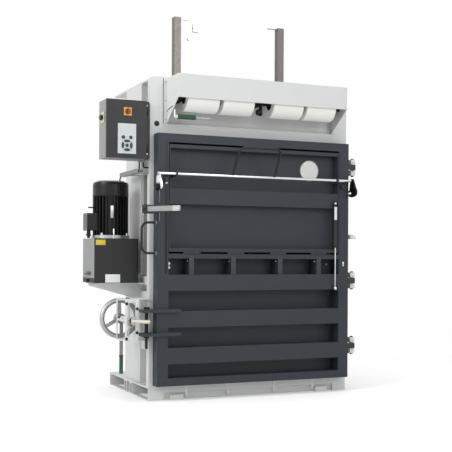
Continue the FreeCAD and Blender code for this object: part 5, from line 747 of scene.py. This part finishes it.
def hood_and_rolls():
    """Board cores and stop rings of the strap rolls, the cheek's slot, a painted shadow strip beside the
    hood's flange, the needle's grip and a plug.
    """
    core_depth = 12.7
    for number, middle in enumerate(ROLL_MIDDLES, start=1):
        tool = bmesh.new()
        for end in (-1, 1):
            face = middle + end * HALF_ROLL
            start = min(face - end * 13.5, face - end * 0.8)
            profile = bored((15, 0), (37.6, 0), (37.6, core_depth), (33, core_depth), (33, 3), (15, 3))
            if end < 0:
                profile = [(radius, core_depth - along) for radius, along in profile]
            add_turned(tool, (start, *ROLL_AXIS), "x", profile, 40)
        finished(f"roll_core_{number}", tool, "brown_core", f"roll_{number}")
    stop_ring = bored((12.4, 0), (22, 0), (24, 1.5), (24, 5), (22, 6.5), (12.4, 6.5))
    turned("roll_stop_rings", [((x, *ROLL_AXIS), "x", stop_ring, 28) for x in (-560, -306, 306, 552)],
           "black_abs", "press_body")
    tool = bmesh.new()
    add_plate(tool, [(-545, 1918), (-468, 1909), (-438, 1897), (-438, 1889), (-468, 1902), (-545, 1911)],
              "x", -621.9, 0.8)
    # painted shadow: a thin black strip beside the hood's flange, where the gap to the post lies in shade
    add_block(tool, (-648, -437, 1821), (-644.4, -436.1, 2110), 0.2)
    finished("cheek_slot_and_flange_painted_shadow", tool, "black_casting", "press_body")
    turned("needle_sleeve", [((-591.5, *NEEDLE_AXIS), "x",
                              [(0, 0), (13.5, 0), (15.5, 2), (15.5, 125), (13.5, 127), (0, 127)])],
           "green_grip", "press_body")
    turned("needle_end", [((-607, *NEEDLE_AXIS), "x", [(0, 0), (11, 0), (13, 2), (13, 15.4), (0, 15.4)])],
           "white_film", "press_body")
    turned("post_plug", [((-691, -441, 1812), "y",
                          [(0, 0), (11, 0), (17.5, 3), (17.5, 5), (15.4, 5), (15.4, 12), (0, 12)])],
           "black_abs", "press_body")


# ------------------------------------ door and post

def door_fittings():
    """Strap guide noses, painted shadow strips beside the stile and the column, a painted highlight on the
    stile's edge, the strut's seal, a catch, the disc's rim, handle nuts and the strut's ends.
    """
    tool = bmesh.new()
    nose = [(-521, 826), (-521, 944), (-515, 953), (-468, 953), (-468, 822), (-517, 822)]
    for middle in GUIDE_MIDDLES:
        add_plate(tool, nose, "x", middle - GUIDE_HALF_WIDTH, 2 * GUIDE_HALF_WIDTH)
    finished("guide_noses", tool, "anthracite_powder", "front_door")
    # painted shadow: a black strip along the stile's inner edge, where the recess beside the flap lies in
    # shade
    blocks("stile_painted_shadow_strip", [((-659, -520.2, 832), (-644.2, DOOR_SKIN, 1700))], 0.3,
           "black_abs", "front_door")
    # painted highlight: light strips along the stile's front-left edge, where the light catches it
    blocks("stile_painted_edge_highlight", [((-700, -522.5, low), (-696.5, -519.2, high))
                          for low, high in ((1292, 1366), (1172, 1222))],
           1, "dull_zinc", "front_door")
    # painted shadow: a grey strip on the column where the gap to the post lies in shade
    blocks("column_painted_shadow_strip", [((-718.4, -320, 822), (-716.1, -264, 1486))], 0.5,
           "painted_shadow_grey", "press_body")
    blocks("stile_catch", [((663, -522, 882), (675, DOOR_SKIN, 912))], 1,
           "chrome", "front_door")
    rim = bored((69.4, 0), (72.6, 0), (73.6, 1), (73.6, 4), (69.4, 4))
    turned("disc_rim", [((428, -461, 1546), "y", rim, 64)], "dull_zinc", "loading_flap")

    washer = bored((8.4, 0), (12, 0), (12, 1.4), (8.4, 1.4))
    nut = bored((8.3, 0), (10.4, 0), (10.4, 4.4), (8.3, 4.4))
    turned("grab_nuts", [shape for z in (1163, 965) for shape in (
        ((-711.6, -490, z), "x", washer, 24), ((-716, -490, z), "x", nut, 6))],
           "chrome", "front_door")

    ball = [(radius * 1.35, along * 1.3) for radius, along in (
        (0, -8), (5, -7.2), (9, -4), (10, 0), (9, 4), (5, 7.2), (0, 8))]
    turned("strut_lower_ball", [((*STRUT_AXIS, 728), "x", ball, 24)],
           "chrome", "strut_lower")
    sleeve = bored((11.1, 0), (11.9, 1), (11.9, 89), (11.1, 90))
    turned("strut_upper_ball", [((*STRUT_AXIS, 1318), "x", ball, 24),
                                ((*STRUT_AXIS, 1204), "z", sleeve, 24)],
           "chrome", "strut_upper")
    seal = bored((5.2, 0), (9, 0), (11.6, 3), (11.6, 10), (11.1, 12), (11.1, 8), (5.2, 8))
    turned("strut_seal", [((*STRUT_AXIS, 1010), "z", seal, 24)], "black_abs", "strut_upper")


def pocket_lips():
    """Folded lips along the floor at both mouths of the two fork pockets."""
    blocks("pocket_lips", [((low_x, low_y, 0.4), (high_x, high_y, 7))
                           for low_x, high_x in ((-738, -700), (700, 738))
                           for low_y, high_y in ((-392, -96), (96, 392))],
           1, "grey_powder", "press_body")


# ------------------------------------ lock and hinges

def lock_frame():
    """The lock's housing with wide openings, so that the hand wheel shows behind it: front plate
    round a tall window, lips, slim rails at the side and rear, and the spindle's sleeve on its web."""
    tool = bmesh.new()
    for low, high in (
            ((-911, -480, 396), (-897, -472, 670)), ((-845, -480, 396), (-820, -472, 670)),
            ((-897, -480, 644), (-845, -472, 670)), ((-897, -480, 396), (-845, -472, 426)),
            ((-911, -472, 396), (-820, -444, 404)), ((-911, -472, 662), (-820, -444, 670)),
            ((-845, -444, 396), (-820, -280, 404)), ((-845, -444, 662), (-820, -280, 670)),
            ((-824, -450, 396), (-738, -280, 404)), ((-824, -450, 662), (-738, -280, 670)),
            ((-911, -444, 396), (-905, -280, 404)), ((-911, -444, 662), (-905, -280, 670)),
            ((-911, -472, 524), (-905, -280, 536)), ((-911, -288, 404), (-903, -280, 662)),
            ((-903, -288, 396), (-845, -280, 404)), ((-903, -288, 662), (-845, -280, 670)),
            ((-829, -288, 404), (-821, -280, 662)), ((-905, -410, 526), (-867, -280, 534)),
            ((-865, -410, 526), (-821, -280, 534))):
        add_block(tool, low, high, 0.6)
    sleeve = bored((13.6, 0), (20, 0), (22, 2), (22, 128), (20, 130), (13.6, 130))
    add_turned(tool, on_spindle(-410), "y", sleeve, 40)
    housing = finished("lock_frame", tool, "grey_powder", "press_body")
    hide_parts("lock_housing")


def lock_and_hinges():
    """Pin caps, hinge and stop blocks, lever fittings, wheel rim and nut, spindle thread and ring."""
    cap = [(0, 0), (9, 0), (11, 1.5), (11, 5.5), (9, 7), (0, 7)]
    turned("hinge_pin_caps", [((762, -480, low + up), "z", cap, 24)
                              for low in HINGE_LOWS for up in (114, -7)],
           "black_casting", "press_body")
    blocks("hinge_blocks", [((742, -497, low + up), (779, -464, low + up + 36))
                            for low in HINGE_LOWS for up in (1, 77)],
           2, "white_film", "press_body")
    blocks("stop_block_face", [((744, -492, 1074), (788, -468, 1097))], 2,
           "white_film", "press_body")
    turned("lock_pin_tail", [((-765, -468, 345), "z", [(0, 0), (7, 0), (9, 3), (9, 70), (0, 70)], 28)],
           "black_casting", "front_door")

    tool = bmesh.new()
    ahead, across = Vector((0.559, -0.829)), Vector((0.829, 0.559))
    outline = [Vector(LEVER_PIVOT) + ahead * along + across * side
               for along, side in ((216, -6.8), (268, -6.8), (268, 6.8), (216, 6.8))]
    add_plate(tool, outline, "z", 1230.2, 33.6)
    finished("lever_head", tool, "zinc", "lever")
    sleeve = bored((18.2, 0), (20.4, 1), (20.4, 30), (18.2, 31))
    turned("lever_sleeve", [((*LEVER_PIVOT, 1231.5), "z", sleeve, 32)],
           "black_abs", "lever")

    rim = bored(*oval((119, 0), (16, 16), 20))
    turned("wheel_rim", [(on_spindle(-202), "y", rim, 72)], "cast_alloy", "wheel")
    nut = bored((13.6, -6), (22, -6), (24, -4), (24, 4), (22, 6), (13.6, 6))
    turned("wheel_nut", [(on_spindle(-173), "y", nut, 6)], "zinc", "wheel")
    crest = bored((12.9, -1.6), (14.4, -0.5), (14.4, 0.5), (12.9, 1.6))
    turned("spindle_thread", [(on_spindle(-480 + 4 * step), "y", crest, 28) for step in range(14)],
           "zinc", "spindle")
    ring = bored((13.1, 0), (19, 0), (20, 1), (20, 4), (19, 5), (13.1, 5))
    turned("spindle_ring", [(on_spindle(-489.6), "y", ring, 32)], "black_casting", "spindle")


# ------------------------------------ tank and motor

def lifting_eye():
    """A ring on a boss at the motor's side: a circle bent round an upright axis, then moved there."""
    tool = bmesh.new()
    add_turned(tool, (-1032, -129, 1268), "x", [(0, 0), (5, 0), (5, 6), (0, 6)], 20)
    ring_radius, wire_radius = 12, 4
    hoop = bmesh.ops.create_circle(tool, cap_ends=False, radius=wire_radius * MM, segments=10)["verts"]
    bmesh.ops.rotate(tool, verts=hoop, cent=(0, 0, 0), matrix=Matrix.Rotation(math.pi / 2, 3, "X"))
    bmesh.ops.translate(tool, verts=hoop, vec=(ring_radius * MM, 0, 0))
    edges = list(dict.fromkeys(edge for vert in hoop for edge in vert.link_edges))
    bmesh.ops.spin(tool, geom=hoop + edges, cent=(0, 0, 0), axis=(0, 0, 1), angle=math.tau, steps=28,
                   use_merge=True)
    ring = [vert for vert in tool.verts if vert.co.length < (ring_radius + wire_radius + 2) * MM]
    bmesh.ops.translate(tool, verts=ring, vec=Vector((-1048, -129, 1268)) * MM)
    finished("lifting_eye", tool, "black_casting", "press_body")


def drive():
    """Blank plates, sight glass, gland nut, lifting eye, filler and the cowl's bead and grille."""
    for name, finish, low, high, bevel in (
            ("tank_plate_yellow", "yellow_film", (-1050, -275.2, 1017), (-985, TANK_FACE, 1051), 0.4),
            ("tank_plate_white", "white_film", (-985, -275.2, 770), (-884, TANK_FACE, 824), 0.4),
            ("motor_plate", "satin_plate", (-944, -250.5, 1196), (-924, -247.5, 1278), 0.8)):
        blocks(name, [(low, high)], bevel, finish, "press_body")
    blocks("sight_glass", [((-1066.6, -195, 820), (-1065.1, -48, 840))], 0.6,
           "dark_glass", "press_body")
    turned("terminal_gland_nut", [
        ((-1059.5, -129, 1091), "z", bored((13.2, -12), (17, -12), (17, 0), (13.2, 0)), 6),
        ((-1059.5, -129, 1064), "z", bored((5.2, 0), (9, 0), (12, 14), (12, 20), (5.2, 20)), 24)],
           "black_abs", "press_body")
    lifting_eye()
    edge = bored((125.1, 0), (126.4, 0), (126.4, 21), (125.1, 21))
    turned("flange_edge", [((*MOTOR_AXIS, 1061.5), "z", edge, 96)], "zinc", "press_body")
    turned("filler_upright", [((-925, -262, TANK_TOP), "z",
                               [(0, 0), (9, 0), (9, 10), (5, 12), (5, 62), (4, 64), (0, 64)], 24)],
           "chrome", "press_body")
    bead = bored((120.1, 0), (121.8, 1), (121.8, 7), (120.1, 8))
    turned("cowl_bead", [((*MOTOR_AXIS, 1344), "z", bead, 96)],
           "motor_enamel", "press_body")

    tree = ring_tree()
    for number, (radius, count) in enumerate(((42, 18), (62, 26), (82, 34)), start=1):
        grown(f"cowl_slots_{number}", tree, [(0, 0, 0)], [],
              {"centre": [Vector((*MOTOR_AXIS, 1447.2)) * MM]},
              {"Count": count, "Ring Radius": radius * MM, "Bar Size": (14 * MM, 6 * MM, 0.8 * MM),
               "Finish": finishes["black_abs"]}, "press_body")


# ------------------------------------ cabinet

def cabinet_fittings():
    """Yellow plates and their borders, gland nuts, hinge leaves, painted highlights at the hinge knuckles
    and the keys' caps.
    """
    tool = bmesh.new()
    add_pierced(tool, (-902, 1871), 26, 17.6, -479.6, 0.5)
    finished("switch_plate_yellow", tool, "amber_film", "control_door")
    blocks("switch_plate_border", [((low_x, -479.7, low_z), (high_x, CABINET_FACE, high_z))
                                   for low_x, low_z, high_x, high_z in (
                                       (-931, 1842, -928.3, 1900), (-875.7, 1842, -873, 1900),
                                       (-928.3, 1897.3, -875.7, 1900), (-928.3, 1842, -875.7, 1844.7))],
           0.2, "brown_film", "control_door")
    blocks("stop_plate_yellow", [((-1044.7, low_y, low_z), (-1043.9, high_y, high_z))
                                 for low_y, low_z, high_y, high_z in (
                                     (-426.5, 1799.5, -412, 1868.5), (-372, 1799.5, -357.5, 1868.5),
                                     (-412, 1854, -372, 1868.5), (-412, 1799.5, -372, 1814))],
           0.2, "lemon_film", "press_body")
    nut = bored((5.3, 0), (9, 0), (11.8, 4), (11.8, 12), (5.3, 12))
    turned("gland_nuts", [((x, -410, 1559), "z", nut, 6) for x in (-800, -773)],
           "black_abs", "press_body")
    blocks("hinge_leaves", [((-770, -458, z - 14), (-760, -456.6, z + 14)) for z in (1616, 1888)], 0.4,
           "zinc", "press_body")
    # painted highlights: white slivers where the hinge knuckles catch the light
    blocks("hinge_painted_highlights", [((x - 2, -480, z - 5), (x + 2, CABINET_FACE, z + 5))
                              for x, z in ((-771, 1916), (-769, 1605))], 0.2,
           "white_film", "control_door")

    cap_face, cap_depth, pip_reach, pip_depth = -483, 0.9, 5, 0.2
    caps = (("left", -931.5, 1705, 11.5, 11.5), ("right", -881.5, 1705, 11.5, 11.5),
            ("centre", -906.5, 1653, 11, 11), ("up", -906.5, 1681, 21, 9), ("down", -906.5, 1625, 21, 9),
            ("ring_left", -934.5, 1653, 8.5, 21), ("ring_right", -878.5, 1653, 8.5, 21))
    for key, x, z, reach_x, reach_z in caps:
        tool = bmesh.new()
        add_plate(tool, oval((x, z), (reach_x, reach_z)), "y", cap_face, cap_depth)
        add_plate(tool, oval((x, z), (pip_reach, pip_reach), 16), "y", cap_face + cap_depth, pip_depth)
        finished(f"key_cap_{key}", tool, "key_rubber", f"key_{key}_push")


# ------------------------------------ build

photo_camera()
control_cables()
dress_nodes()
floor_and_light()
bolts()
welds()
hood_and_rolls()
door_fittings()
pocket_lips()
lock_frame()
lock_and_hinges()
drive()
cabinet_fittings()
